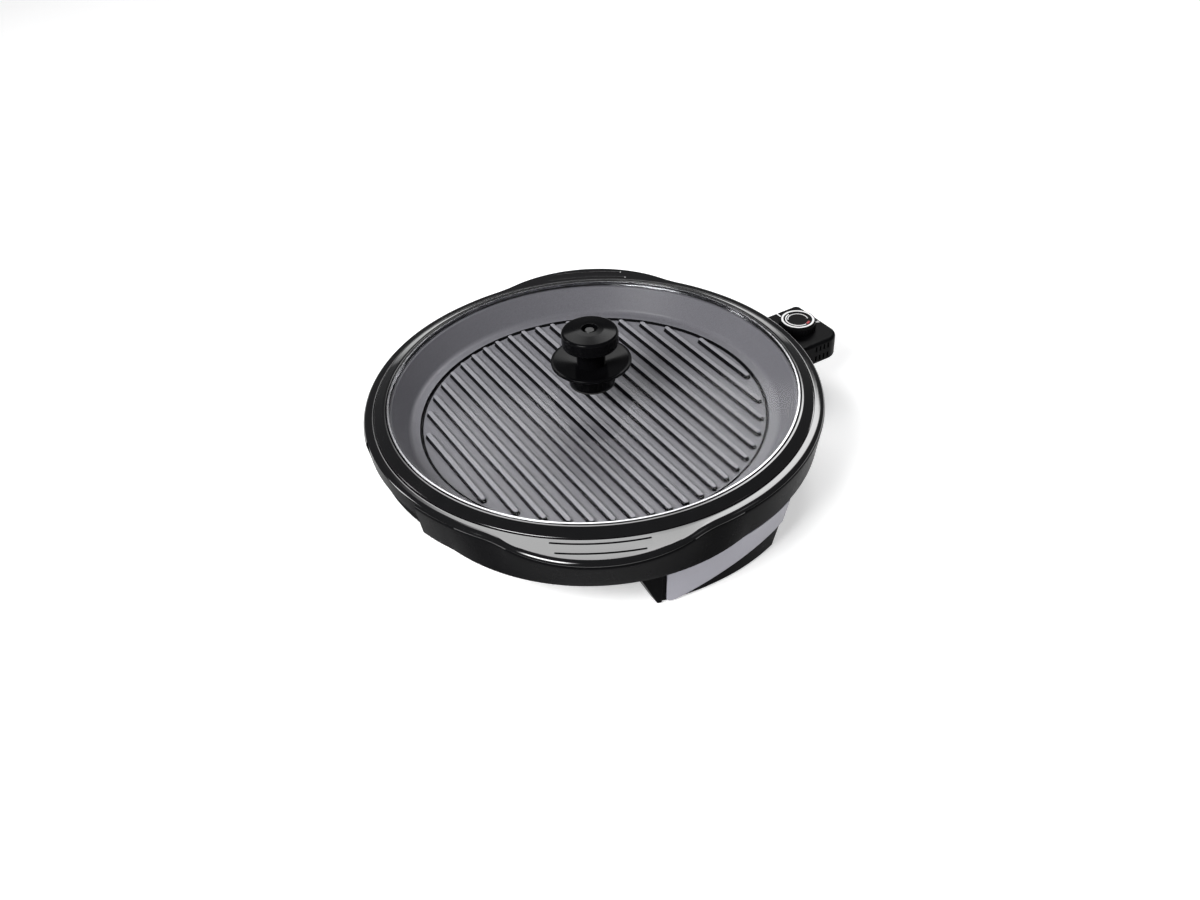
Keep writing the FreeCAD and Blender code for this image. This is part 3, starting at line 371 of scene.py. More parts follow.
def softened(node, material, body, slot, width, segments=2):
    """Stands for a CAD node with its edges rounded off."""
    bm = bmesh.new()
    bm.from_mesh(frame["nodes"][node].data)
    bmesh.ops.remove_doubles(bm, verts=bm.verts, dist=2e-6)
    bmesh.ops.dissolve_limit(bm, angle_limit=math.radians(1.0), verts=bm.verts, edges=bm.edges)
    thing = linked(node + "_moulding", to_mesh(bm, node))
    bevel = thing.modifiers.new("Edges", "BEVEL")
    bevel.width = width
    bevel.segments = segments
    bevel.limit_method = "ANGLE"
    bevel.angle_limit = math.radians(40.0)
    return dressed(soft_shaded(settled(thing)), material, body, slot, node)


# Node trees

def add(tree, kind, values):
    """New node with its inputs, by name or number, linked to sockets or set to plain values."""
    node = tree.nodes.new(kind)
    for key, value in values.items():
        if isinstance(value, bpy.types.NodeSocket):
            tree.links.new(value, node.inputs[key])
        elif value is not None:
            node.inputs[key].default_value = value
    return node


def calc(tree, operation, *values):
    """Math node on sockets or plain numbers."""
    node = add(tree, "ShaderNodeMath", dict(enumerate(values)))
    node.operation = operation
    return node.outputs[0]


def triple(tree, x=0.0, y=0.0, z=0.0):
    """Vector from sockets or plain numbers."""
    return add(tree, "ShaderNodeCombineXYZ", {"X": x, "Y": y, "Z": z}).outputs[0]


def new_tree(name, inputs):
    """Empty geometry tree with its named inputs and its output."""
    tree = bpy.data.node_groups.new(name, "GeometryNodeTree")
    for label, kind in inputs:
        tree.interface.new_socket(name=label, in_out="INPUT", socket_type="NodeSocket" + kind)
    tree.interface.new_socket(name="Geometry", in_out="OUTPUT", socket_type="NodeSocketGeometry")
    return tree, tree.nodes.new("NodeGroupInput").outputs, tree.nodes.new("NodeGroupOutput").inputs[0]


def copies(tree, points, template, scale=None, turn=None):
    """Instances of a template object on points."""
    source = add(tree, "GeometryNodeObjectInfo", {"Object": template})
    placed_copies = add(tree, "GeometryNodeInstanceOnPoints", {
        "Points": points, "Instance": source.outputs["Geometry"], "Scale": scale, "Rotation": turn})
    return placed_copies.outputs[0]


def join_and_finish(tree, parts, material, out):
    """Joins instances into one plain, welded mesh with its material."""
    join = tree.nodes.new("GeometryNodeJoinGeometry")
    for part in parts:
        tree.links.new(part, join.inputs[0])
    real = add(tree, "GeometryNodeRealizeInstances", {0: join.outputs[0]})
    merge = add(tree, "GeometryNodeMergeByDistance", {0: real.outputs[0], "Distance": WELD})
    paint = add(tree, "GeometryNodeSetMaterial", {0: merge.outputs[0], "Material": material})
    tree.links.new(paint.outputs[0], out)


def rib_tree():
    """Parallel bars with round ends that fill a circle."""
    tree, given, out = new_tree("Rib field", [
        ("Bar", "Object"), ("End", "Object"), ("Count", "Int"), ("Pitch", "Float"), ("Shift", "Float"),
        ("Width", "Float"), ("Field", "Float"), ("Material", "Material")])
    half = calc(tree, "MULTIPLY", given["Width"], 0.5)
    span = calc(tree, "MULTIPLY", calc(tree, "SUBTRACT", given["Count"], 1.0), given["Pitch"])
    first = calc(tree, "SUBTRACT", given["Shift"], calc(tree, "MULTIPLY", span, 0.5))
    line = add(tree, "GeometryNodeMeshLine", {
        "Count": given["Count"], "Start Location": triple(tree, x=first),
        "Offset": triple(tree, x=given["Pitch"])})
    here = tree.nodes.new("GeometryNodeInputPosition").outputs[0]
    across = add(tree, "ShaderNodeSeparateXYZ", {0: here}).outputs[0]
    edge = calc(tree, "ADD", calc(tree, "ABSOLUTE", across), half)
    room = calc(tree, "SUBTRACT", calc(tree, "POWER", given["Field"], 2.0), calc(tree, "POWER", edge, 2.0))
    reach = calc(tree, "SUBTRACT", calc(tree, "SQRT", calc(tree, "MAXIMUM", room, 0.0)), half)
    parts = [copies(tree, line.outputs[0], given["Bar"], scale=triple(tree, 1.0, reach, 1.0))]
    for side, turn in ((1.0, 0.0), (-1.0, math.pi)):
        offset = triple(tree, y=calc(tree, "MULTIPLY", reach, side))
        ends = add(tree, "GeometryNodeSetPosition", {"Geometry": line.outputs[0], "Offset": offset})
        parts.append(copies(tree, ends.outputs[0], given["End"], turn=triple(tree, z=turn)))
    join_and_finish(tree, parts, given["Material"], out)
    return tree


def circle_tree():
    """Copies of a template set round a circle, each turned to face outwards."""
    tree, given, out = new_tree("Round the axis", [
        ("Template", "Object"), ("Count", "Int"), ("Start", "Float"), ("Step", "Float"),
        ("Material", "Material")])
    line = add(tree, "GeometryNodeMeshLine", {"Count": given["Count"]})
    index = tree.nodes.new("GeometryNodeInputIndex").outputs[0]
    angle = calc(tree, "ADD", given["Start"], calc(tree, "MULTIPLY", index, given["Step"]))
    middles = add(tree, "GeometryNodeSetPosition", {"Geometry": line.outputs[0], "Position": triple(tree)})
    parts = [copies(tree, middles.outputs[0], given["Template"], turn=triple(tree, z=angle))]
    join_and_finish(tree, parts, given["Material"], out)
    return tree


def grown(name, tree, values, body, slot, where, turn=0.0):
    """Finished piece whose mesh a tree makes about the origin from named inputs."""
    thing = linked(name, bpy.data.meshes.new(name))
    grow = thing.modifiers.new(name, "NODES")
    grow.node_group = tree
    for socket in tree.interface.items_tree:
        if socket.in_out == "INPUT":
            grow[socket.identifier] = values[socket.name]
    placed(settled(thing).data, where, turn)
    return dressed(soft_shaded(thing), values["Material"], body, slot)


# Finishes

def blank(name):
    """New material with a Principled shader, its tree and its coordinates."""
    material = bpy.data.materials.new(name)
    material.use_nodes = True
    tree = material.node_tree
    shader = next(node for node in tree.nodes if node.type == "BSDF_PRINCIPLED")
    place = tree.nodes.new("ShaderNodeTexCoord").outputs["Object"]
    return material, tree, shader, place


def noise(tree, place, scale, detail=3.0, stretch=None):
    """Noise in object space, drawn out along an axis where stretch is given."""
    if stretch:
        place = add(tree, "ShaderNodeMapping", {"Vector": place, "Scale": stretch}).outputs[0]
    return add(tree, "ShaderNodeTexNoise", {"Vector": place, "Scale": scale, "Detail": detail}).outputs["Fac"]


def spread(tree, source, low, high, socket):
    """Feeds a socket with a noise drawn out between two levels."""
    start, end = NOISE_RANGE
    level = add(tree, "ShaderNodeMapRange", {
        "Value": source, "From Min": start, "From Max": end, "To Min": low, "To Max": high})
    tree.links.new(level.outputs[0], socket)


def tinted(tree, source, shader, colour, low, high):
    """Feeds the base colour with shades of one colour."""
    ramp = add(tree, "ShaderNodeValToRGB", {0: source})
    for stop, place, share in zip(ramp.color_ramp.elements, NOISE_RANGE, (low, high)):
        stop.position = place
        stop.color = [min(1.0, channel * share) for channel in colour] + [1.0]
    tree.links.new(ramp.outputs[0], shader.inputs["Base Color"])


def bumped(tree, source, shader, distance, strength):
    """Raises the surface by a noise."""
    bump = add(tree, "ShaderNodeBump", {"Height": source, "Distance": distance, "Strength": strength})
    tree.links.new(bump.outputs[0], shader.inputs["Normal"])


def moulded_finish(name, colour, gloss, mirror, grain_scale, grain_depth):
    """Moulded plastic: faint flow marks in its shine and a fine skin."""
    material, tree, shader, place = blank(name)
    shader.inputs["Specular IOR Level"].default_value = mirror
    tinted(tree, noise(tree, place, 60.0), shader, colour, 0.8, 1.2)
    spread(tree, noise(tree, place, 35.0, 5.0), gloss[0], gloss[1], shader.inputs["Roughness"])
    bumped(tree, noise(tree, place, grain_scale, 2.0), shader, grain_depth, 0.3)
    return material


def coated_finish(name, colour, mirror):
    """Dark non-stick coating on a casting: fine flecks, a pebbled skin and uneven shine."""
    material, tree, shader, place = blank(name)
    tinted(tree, noise(tree, place, 1400.0, 2.0), shader, colour, 0.85, 1.2)
    spread(tree, noise(tree, place, 90.0, 4.0), 0.28, 0.36, shader.inputs["Roughness"])
    bumped(tree, noise(tree, place, 1100.0, 2.0), shader, 0.00006, 0.2)
    shader.inputs["Specular IOR Level"].default_value = mirror
    return material


def metal_finish(name, colour, roughness, scale, stretch=None, metallic=1.0):
    """Bare or plated metal with drawn lines or a fine grain."""
    material, tree, shader, place = blank(name)
    shader.inputs["Metallic"].default_value = metallic
    grain = noise(tree, place, scale, 3.0, stretch)
    tinted(tree, grain, shader, colour, 0.85, 1.1)
    spread(tree, grain, roughness[0], roughness[1], shader.inputs["Roughness"])
    bumped(tree, grain, shader, 0.00005, 0.2)
    return material


def glass_finish(name):
    """Clear glass that shows what is behind it unbent and mirrors by its angle."""
    material, tree, shader, place = blank(name)
    clear = add(tree, "ShaderNodeBsdfTransparent", {"Color": (0.98, 0.982, 0.981, 1.0)})
    mirror = tree.nodes.new("ShaderNodeBsdfGlossy")
    spread(tree, noise(tree, place, 12.0), 0.02, 0.05, mirror.inputs["Roughness"])
    fresnel = add(tree, "ShaderNodeFresnel", {"IOR": 1.12}).outputs[0]
    outside = calc(tree, "SUBTRACT", 1.0, tree.nodes.new("ShaderNodeNewGeometry").outputs["Backfacing"])
    share = calc(tree, "MULTIPLY", fresnel, outside)
    mix = add(tree, "ShaderNodeMixShader", {0: share, 1: clear.outputs[0], 2: mirror.outputs[0]})
    out = next(node for node in tree.nodes if node.type == "OUTPUT_MATERIAL")
    tree.links.new(mix.outputs[0], out.inputs["Surface"])
    tree.nodes.remove(shader)
    return material


def matte_finish(name, colour, roughness, scale):
    """Dull surface with a fine mottle, for rubber, fired clay and printed ink."""
    material, tree, shader, place = blank(name)
    grain = noise(tree, place, scale)
    tinted(tree, grain, shader, colour, 0.85, 1.1)
    spread(tree, grain, roughness - 0.06, roughness + 0.06, shader.inputs["Roughness"])
    bumped(tree, grain, shader, 0.00005, 0.3)
    return material


def finish(name):
    """Material of a finish, made when first asked for."""
    if name in bpy.data.materials:
        return bpy.data.materials[name]
    colours = bpy.context.scene.grill_finishes
    makers = {
        "gloss_plastic": (moulded_finish, colours.plastic, (0.05, 0.09), 0.75, 220.0, 0.00002),
        "satin_plastic": (moulded_finish, colours.plastic, (0.24, 0.32), 0.015, 500.0, 0.00003),
        "knob_plastic": (moulded_finish, colours.plastic, (0.10, 0.16), 0.05, 300.0, 0.00002),
        "control_plastic": (moulded_finish, colours.housing, (0.3, 0.4), 0.04, 900.0, 0.00006),
        "plate_coating": (coated_finish, colours.coating, 0.16),
        # Lighter copy of the coating, painted as a highlight
        "rib_crest": (coated_finish, colours.crest, 0.16),
        # Near black copy of the coating, painted as shade
        "rib_flank": (coated_finish, colours.flank, 0.05),
        "panel_silver": (metal_finish, colours.silver, (0.3, 0.38), 3000.0, None, 0.35),
        "band_steel": (metal_finish, (0.3, 0.3, 0.31), (0.14, 0.2), 300.0, (1, 1, 3)),
        "dark_screw": (metal_finish, (0.05, 0.05, 0.05), (0.3, 0.4), 900.0),
        "screw_steel": (metal_finish, (0.62, 0.62, 0.63), (0.22, 0.32), 1200.0),
        "sheet_steel": (metal_finish, (0.52, 0.52, 0.53), (0.32, 0.45), 300.0, (1, 8, 1)),
        "black_sheet": (metal_finish, (0.02, 0.02, 0.02), (0.45, 0.55), 300.0, (1, 8, 1), 0.0),
        "element_sheath": (metal_finish, (0.20, 0.19, 0.18), (0.40, 0.55), 260.0),
        "contact_brass": (metal_finish, (0.72, 0.55, 0.25), (0.2, 0.3), 900.0),
        "fired_clay": (matte_finish, (0.72, 0.69, 0.62), 0.75, 700.0),
        "soft_rubber": (matte_finish, (0.02, 0.02, 0.02), 0.7, 900.0),
        "white_print": (matte_finish, colours.print_white, 0.45, 1500.0),
        "red_print": (matte_finish, colours.print_red, 0.45, 1500.0),
        "lid_glass": (glass_finish,),
    }
    maker, *values = makers[name]
    return maker(name, *values)


# Base ring

def off_angle(degrees, places):
    """Smallest turn in degrees from an angle to any of some places."""
    return min(abs((degrees - place + 180.0) % 360.0 - 180.0) for place in places)


def outline_reach(outline, angle):
    """Distance in millimetres from the axis to a plan outline, a circle with two bowed ends, at an angle."""
    across, along = abs(math.cos(angle)), abs(math.sin(angle))
    radius, nose, nose_at, blend = outline.radius, outline.nose, outline.nose_at, outline.blend
    centre_y = ((radius + blend) ** 2 - (nose + blend) ** 2 + nose_at ** 2) / (2 * nose_at)
    centre_x = math.sqrt((radius + blend) ** 2 - centre_y ** 2)
    turn = math.atan2(along, across)
    share = nose / (nose + blend)
    on_nose = (centre_x * share, nose_at + (centre_y - nose_at) * share)
    if turn < math.atan2(centre_y, centre_x):
        return radius
    if turn > math.atan2(on_nose[1], on_nose[0]):
        far = along * nose_at
        return far + math.sqrt(nose ** 2 - nose_at ** 2 + far ** 2)
    far = across * centre_x + along * centre_y
    return far - math.sqrt(blend ** 2 - centre_x ** 2 - centre_y ** 2 + far ** 2)


def port_depth(degrees):
    """How far in millimetres an angle lies inside a port, or a negative number outside."""
    return math.radians(PORT.half_angle - off_angle(degrees, PORT_ANGLES)) * PORT.step


def skirt_bottom(degrees):
    """Height of the skirt's lower edge, raised over the ports."""
    depth = port_depth(degrees)
    if depth >= PORT.corner:
        return PORT.top
    if depth >= 0:
        return PORT.top - PORT.corner + math.sqrt(PORT.corner ** 2 - (PORT.corner - depth) ** 2)
    return RING.bottom


def roof(radius):
    """Height of the ring's top face at a radius."""
    return RING.top - max(0.0, radius - RING.plate) * ROOF_FALL


def groove_drop(degrees, half_angle, depth):
    """Depth of a handle's groove at an angle, with short run-outs at its ends."""
    inside = half_angle - off_angle(degrees, HANDLE_ANGLES)
    share = min(1.0, max(0.0, inside / GROOVE_RUN_OUT[-1]))
    return depth * math.sqrt(share * (2 - share))


def ring_section(degrees, depth):
    """Closed section of the ring in millimetres at an angle."""
    angle = math.radians(degrees)
    outer = outline_reach(RING_TOP, angle)
    lean = (outer - outline_reach(RING_FOOT, angle)) / (RING.top - RING.bottom)
    low = skirt_bottom(degrees)
    cut_back = PORT.step if port_depth(degrees) >= 0 else math.inf

    def wall(z):
        return outer - (RING.top - z) * lean

    shoulder = wall(roof(outer))
    inward = outer - 4 * RING.edge
    edge = rounded([(inward, roof(inward), 0), (shoulder, roof(shoulder), RING.edge), (wall(low), low, 0)],
                   closed=False, count=9)[1:-1]
    rebate = RING.plate + RING.play
    start = rebate + RING.rebate_edge
    bend = 0.3 * RING.rebate_edge
    points = [(rebate, RING.ledge), (rebate, roof(rebate) - RING.rebate_edge),
              (rebate + bend, roof(rebate) - bend), (start, roof(start))]
    inside = HANDLE_SPREAD.half_angle - off_angle(degrees, HANDLE_ANGLES)
    on_handle = min(1.0, max(0.0, inside / HANDLE_SPREAD.blend))
    for order, (radius, half_angle) in enumerate(GROOVES):
        drop = groove_drop(degrees, half_angle, depth)
        share = (order + 1) / (len(GROOVES) + 1)
        plain = start + (edge[0][0] - start) * share
        for offset, fall in GROOVE_SECTION:
            at = on_handle * (radius + offset) + (1 - on_handle) * (plain + 0.4 * offset)
            points.append((at, roof(at) - drop * fall))
    points += [(min(r, cut_back), z) for r, z in edge]
    top = edge[-1][1]
    for share in SKIRT_ROWS:
        z = top + (low - top) * share
        points.append((min(wall(z), cut_back), z))
    for back, rise in SKIRT_FOOT:
        points.append((min(wall(low), cut_back) - back, low + rise))
    under = roof(outer) - RING.wall
    points.append((wall(under) - RING.wall, under))
    points += [(COLLAR.outer, COLLAR.head), (COLLAR.outer, COLLAR.foot),
               (COLLAR.inner, COLLAR.foot), (COLLAR.inner, RING.ledge)]
    return points


def ring_angles():
    """Angles in degrees at which the ring's sections stand, close together at ports and groove ends."""
    special = []
    for port in PORT_ANGLES:
        for side in (-1, 1):
            edge = port + side * PORT.half_angle
            special += [edge + side * SECTIONS.outside, edge - side * SECTIONS.inside]
            for stop in range(1, SECTIONS.corner + 1):
                run = PORT.corner * (1 - math.cos(math.radians(90.0 / SECTIONS.corner * stop)))
                special.append(edge - side * math.degrees(run / PORT.step))
    for at in HANDLE_ANGLES:
        for _, half_angle in GROOVES:
            for side in (-1, 1):
                special += [at + side * (half_angle - back) for back in GROOVE_RUN_OUT]
    special = [angle % 360.0 for angle in special]
    plain = [360.0 / SECTIONS.count * i for i in range(SECTIONS.count)]
    plain = [a for a in plain if min(abs(a - s) for s in special) > SECTIONS.apart]
    return sorted(plain + special)


def ring_mesh(depth):
    """Moulded ring with its handles, grooves and ports."""
    bm = bmesh.new()
    columns = []
    for degrees in ring_angles():
        angle = math.radians(degrees)
        columns.append([bm.verts.new((r * math.cos(angle) * MM, r * math.sin(angle) * MM, z * MM))
                        for r, z in ring_section(degrees, depth)])
    quads_between(bm, columns, True)
    return placed(bm, axis)


class GRILL_OT_ring(bpy.types.Operator):
    """Makes the moulded ring with its two handles and the screw bosses under it"""
    bl_idname = "grill.ring"
    bl_label = "Base ring"

    def execute(self, context):
        sizes = context.scene.grill_sizes
        plastic = finish("gloss_plastic")
        ring = piece("ring_moulding", ring_mesh(sizes.groove_depth / MM), plastic, "base", "black_gloss",
                     "base_ring")
        ring.data.materials.append(finish("satin_plastic"))
        for face in ring.data.polygons:
            is_wall = face.normal.z < UPWARD.wall
            face.material_index = 1 if is_wall else 0
        post = lathe(rounded([(BOSS.bore, BOSS.foot, 0), (BOSS.radius, BOSS.foot, BOSS.edge),
                              (BOSS.radius, BOSS.head, 0), (BOSS.bore, BOSS.head, 0)]), SEGMENTS.boss)
        boss = linked("boss_shape", to_mesh(placed(post, Vector((BOSS.reach * MM, 0, 0))), "boss"))
        tree = circle_tree()
        for name, start, step in BOSS_PAIRS:
            grown(name, tree, {"Template": boss, "Count": 2, "Start": math.radians(start),
                               "Step": math.radians(step), "Material": plastic}, "base", "black_gloss", axis)
        bpy.data.objects.remove(boss)
        return {"FINISHED"}


# Grill plate

def dish_outline():
    """Section of the plate, from its middle out over the rim and back along the underside."""
    at = PLATE
    above = [(0, at.floor, 0), (at.groove_in, at.floor, 0.5), (at.groove_in, at.groove_floor, 0.4),
             (at.groove_out, at.groove_floor, 0.5), (at.groove_out, at.ledge, 0.7),
             (at.wall_foot, at.ledge, 6.0), (at.wall_head, at.seat, 1.2), (at.seat_edge, at.seat, 0.5),
             (at.seat_edge, at.lip, 0.6), (at.lip_edge, at.lip, 3.0), (at.rim, at.rim_top, 1.5),
             (at.rim, RING.ledge, 0)]
    below = [(at.rebate, RING.ledge, 0), (at.rebate, at.rebate_top, 0), (at.lip_under, at.seat, 0),
             (at.seat_under_out, at.seat_under, 0), (at.seat_under_in, at.seat_under, 0),
             (at.under_edge, at.under, 5.0), (at.pad_out, at.under, 0), (at.pad_out, at.pad, 0),
             (at.pad_in, at.pad, 0), (at.pad_in, at.under, 0), (0, at.under, 0)]
    return rounded(above + below)


def rib_side(sizes):
    """Half section of a rib in millimetres, from below the floor up over a small fillet to the crest."""
    foot = sizes.rib_width / MM / 2
    fillet = foot + RIB.fillet
    crest = PLATE.floor + sizes.rib_height / MM
    return rounded([(0, PLATE.floor - RIB.root, 0), (fillet, PLATE.floor - RIB.root, 0),
                    (fillet, PLATE.floor + RIB.fillet_foot, 0), (foot, PLATE.floor + RIB.fillet_head, 0),
                    (sizes.rib_crest / MM / 2, crest, RIB.crest_edge), (0, crest, 0)], 15.0)


def rib_bar(side):
    """Straight rib of unit half length, open at its ends."""
    bar = bmesh.new()
    section = [(-x, z) for x, z in reversed(side) if x > 0] + [(x, z) for x, z in side if x > 0]
    rows = [[bar.verts.new((x * MM, y, z * MM)) for y in (-1.0, 1.0)] for x, z in section]
    quads_between(bar, rows, False)
    return linked("rib_bar", to_mesh(bar, "rib_bar"))


def rib_end(side, steps=10):
    """Half-round end of a rib."""
    end = bmesh.new()
    turns = [(math.cos(math.pi * i / steps), math.sin(math.pi * i / steps)) for i in range(steps + 1)]
    rows = []
    for x, z in side:
        if x == 0:
            rows.append([end.verts.new((0, 0, z * MM))] * len(turns))
        else:
            rows.append([end.verts.new((x * across * MM, x * along * MM, z * MM)) for across, along in turns])
    quads_between(end, rows, False)
    return linked("rib_end", to_mesh(end, "rib_end"))


class GRILL_OT_plate(bpy.types.Operator):
    """Makes the coated dish and the ribs on its floor"""
    bl_idname = "grill.plate"
    bl_label = "Grill plate"

    def execute(self, context):
        sizes = context.scene.grill_sizes
        coating = finish("plate_coating")
        dish = lathe(dish_outline(), SEGMENTS.plate)
        plate = piece("plate_dish", placed(dish, axis), coating, "base", "nonstick_cast", "grill_plate")
        # Added materials: the rim's black gloss plastic, and a near black coating painted as shade in the
        # groove
        plate.data.materials.append(finish("gloss_plastic"))
        plate.data.materials.append(finish("rib_flank"))
        for face in plate.data.polygons:
            reach, height = (face.center - axis).xy.length / MM, face.center.z / MM
            in_groove = PLATE.groove_in - MARGIN.groove < reach < PLATE.groove_out + MARGIN.groove
            if reach > PLATE.seat_edge - MARGIN.rim and height > RING.ledge + MARGIN.ledge:
                face.material_index = 1
            elif in_groove and height > PLATE.groove_floor - MARGIN.groove_floor:
                face.material_index = 2
        side = rib_side(sizes)
        bar, end = rib_bar(side), rib_end(side)
        # The ribs' tops take the lighter crest colour as a painted highlight
        ribs = grown("plate_ribs", rib_tree(), {
            "Bar": bar, "End": end, "Count": sizes.rib_count, "Pitch": sizes.rib_pitch,
            "Shift": sizes.rib_shift, "Width": sizes.rib_width, "Field": sizes.rib_field,
            "Material": finish("rib_crest")}, "base", "nonstick_cast", axis, plug_angle)
        bpy.data.objects.remove(bar)
        bpy.data.objects.remove(end)
        # Sides and feet of the ribs take the near black coating as painted shade
        ribs.data.materials.append(finish("rib_flank"))
        for face in ribs.data.polygons:
            in_painted_shade = face.normal.z < UPWARD.flank or face.center.z < (PLATE.floor + RIB.corner) * MM
            face.material_index = 1 if in_painted_shade else 0
        return {"FINISHED"}


# Lid

def dome(radius, height):
    """Height in millimetres of the glass dome at a radius, over the height of its edge."""
    foot, rise = LID.dome_foot, LID.rise
    sphere = (foot ** 2 + rise ** 2) / (2 * rise)
    return height + rise - sphere + math.sqrt(sphere ** 2 - min(radius, foot) ** 2)


class GRILL_OT_lid(bpy.types.Operator):
    """Makes the domed glass and the bright band round it"""
    bl_idname = "grill.lid"
    bl_label = "Glass lid"

    def execute(self, context):
        at = PANE_ROWS
        radii = [LID.hole, at.inner] + [at.first + at.step * i for i in range(at.count)]
        radii += [at.outer, LID.radius - LID.edge]
        top = [(r, dome(r, LID.top)) for r in radii]
        bottom = [(r, dome(r, LID.under)) for r in reversed(radii)]
        outline = top + [(LID.radius, LID.top - LID.edge), (LID.radius, LID.under + LID.edge)] + bottom
        pane = lathe(outline, SEGMENTS.pane)
        piece("lid_pane", placed(pane, axis), finish("lid_glass"), "lid", "clear_glass", "lid_glass")
        band = rounded([(LID.radius, LID.under, 0), (BAND.inner, LID.under, 0.1),
                        (BAND.inner, BAND.foot, 0.1), (BAND.outer, BAND.foot, 0.5),
                        (BAND.outer, BAND.top, 0.5), (BAND.inner, BAND.top, 0.2),
                        (BAND.inner, LID.top, 0.1), (LID.radius, LID.top, 0)])
        rim = lathe(band, SEGMENTS.plate)
        piece("lid_rim", placed(rim, axis), finish("band_steel"), "lid", "bright_metal", "lid_band")
        return {"FINISHED"}


class GRILL_OT_knob(bpy.types.Operator):
    """Makes the lid's knob: cup, dished guard, neck and grip"""
    bl_idname = "grill.knob"
    bl_label = "Lid knob"

    def execute(self, context):
        plastic = finish("knob_plastic")
        at = KNOB
        outlines = {
            "knob_base": [(at.cup, at.foot, 0.4), (at.cup_foot, at.foot, 1.5), (at.cup_head, at.cup_top, 0.3),
                          (at.bore, at.cup_top, 0), (at.bore, at.cup_roof, 0), (at.cup, at.cup_roof, 2.0)],
            "knob_flange": [(at.bore, at.cup_top, 0), (at.guard_foot, at.cup_top, 4.0),
                            (at.guard, at.guard_low, 1.0), (at.guard, at.guard_top, 1.1),
                            (at.guard_lip, at.guard_top, 1.1), (at.neck, at.neck_foot, 3.0),
                            (at.bore, at.neck_foot, 0)],
            "knob_stem": [(at.bore, at.neck_foot, 0), (at.neck, at.neck_foot, 0),
                          (at.neck, at.grip_foot, 0), (at.bore, at.grip_foot, 0)],
            "knob_cap": [(at.bore, at.grip_foot, 0), (at.grip, at.grip_foot, 2.5),
                         (at.grip, at.grip_edge, 2.6), (at.grip / 2, at.crown, 12.0),
                         (at.recess, at.top, 0.7), (at.recess, at.recess_floor, 0.4),
                         (at.bore, at.recess_floor, 0)],
        }
        for node, corners in outlines.items():
            turned = lathe(rounded(corners), SEGMENTS.knob)
            piece(node + "_moulding", placed(turned, axis), plastic, "lid", "black_gloss", node)
        return {"FINISHED"}


# Legs

class GRILL_OT_legs(bpy.types.Operator):
    """Makes the two legs and their silver panels"""
    bl_idname = "grill.legs"
    bl_label = "Legs"

    def execute(self, context):
        sizes = context.scene.grill_sizes
        for end in ("front", "rear"):
            softened("leg_" + end, finish("satin_plastic"), "base", "black_gloss", sizes.edge)
            softened("leg_panel_" + end, finish("panel_silver"), "base", "silver_panel", PANEL_EDGE, 3)
        return {"FINISHED"}


# Heat control

def printed(outline, level):
    """Thin layer of ink over a plan outline on a face at a height, all in millimetres."""
    return prism(outline, level - INK.sunk, level + INK.proud)


class GRILL_OT_control(bpy.types.Operator):
    """Makes the heat control's housing with its printed marks"""
    bl_idname = "grill.control"
    bl_label = "Heat control"

    def execute(self, context):
        plastic = finish("control_plastic")
        for node in ("control_cover", "control_tray"):
            softened(node, plastic, "control", "control_black", CONTROL_EDGE)
        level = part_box("control_cover")[1].z / MM
        ink = finish("white_print")
        line = printed([(-INDEX.half, INDEX.near), (INDEX.half, INDEX.near),
                        (INDEX.half, INDEX.far), (-INDEX.half, INDEX.far)], level)
        piece("index_line", placed(line, dial_axis, plug_angle), ink, "control", "control_black")
        mark = printed(rounded([(POINT.near, 0.0, POINT.tip), (POINT.far, -POINT.half, POINT.corner),
                                (POINT.far, POINT.half, POINT.corner)], 15.0), level)
        mark_angle = plug_angle - math.radians(POINT.turn)
        piece("index_point", placed(mark, dial_axis, mark_angle), ink, "control", "control_black")
        return {"FINISHED"}


class GRILL_OT_dial(bpy.types.Operator):
    """Makes the dial with its grip ridges and printed scale"""
    bl_idname = "grill.dial"
    bl_label = "Dial"

    def execute(self, context):
        sizes = context.scene.grill_sizes
        plastic = finish("control_plastic")
        body = rounded([(0, DIAL.foot, 0), (DIAL.radius, DIAL.foot, 0.3), (DIAL.radius, DIAL.shoulder, 0.8),
                        (DIAL.top_radius, DIAL.top, 1.0), (0, DIAL.top, 0)])
        turned = lathe(body, SEGMENTS.knob)
        piece("dial_moulding", placed(turned, dial_axis), plastic, "dial", "control_black", "dial")
        ridge = lathe(rounded([(0, RIDGE.foot, 0), (RIDGE.radius, RIDGE.foot, 0.2),
                               (RIDGE.radius, RIDGE.shoulder, 0.6), (0, RIDGE.top, 0)], 20.0), SEGMENTS.ridge)
        ridge_at = Vector((RIDGE.reach * MM, 0, 0))
        ridge_shape = linked("grip_ridge", to_mesh(placed(ridge, ridge_at), "grip_ridge"))
        grown("dial_ridges", circle_tree(), {
            "Template": ridge_shape, "Count": sizes.grip_count, "Start": 0.0,
            "Step": 2 * math.pi / sizes.grip_count, "Material": plastic}, "dial", "control_black", dial_axis)
        bpy.data.objects.remove(ridge_shape)
        low, high = DIAL.top - INK.sunk, DIAL.top + INK.proud
        inner, outer = SCALE_RING.inner, SCALE_RING.outer
        ring = lathe([(inner, low), (outer, low), (outer, high), (inner, high)], SEGMENTS.print)
        piece("scale_ring", placed(ring, dial_axis), finish("white_print"), "dial", "control_black")
        for name, inner, outer, start, end, ink in SCALE_ARCS:
            arc = printed(arc_strip(inner, outer, start, end), DIAL.top)
            piece(name, placed(arc, dial_axis), finish(ink), "dial", "control_black")
        return {"FINISHED"}


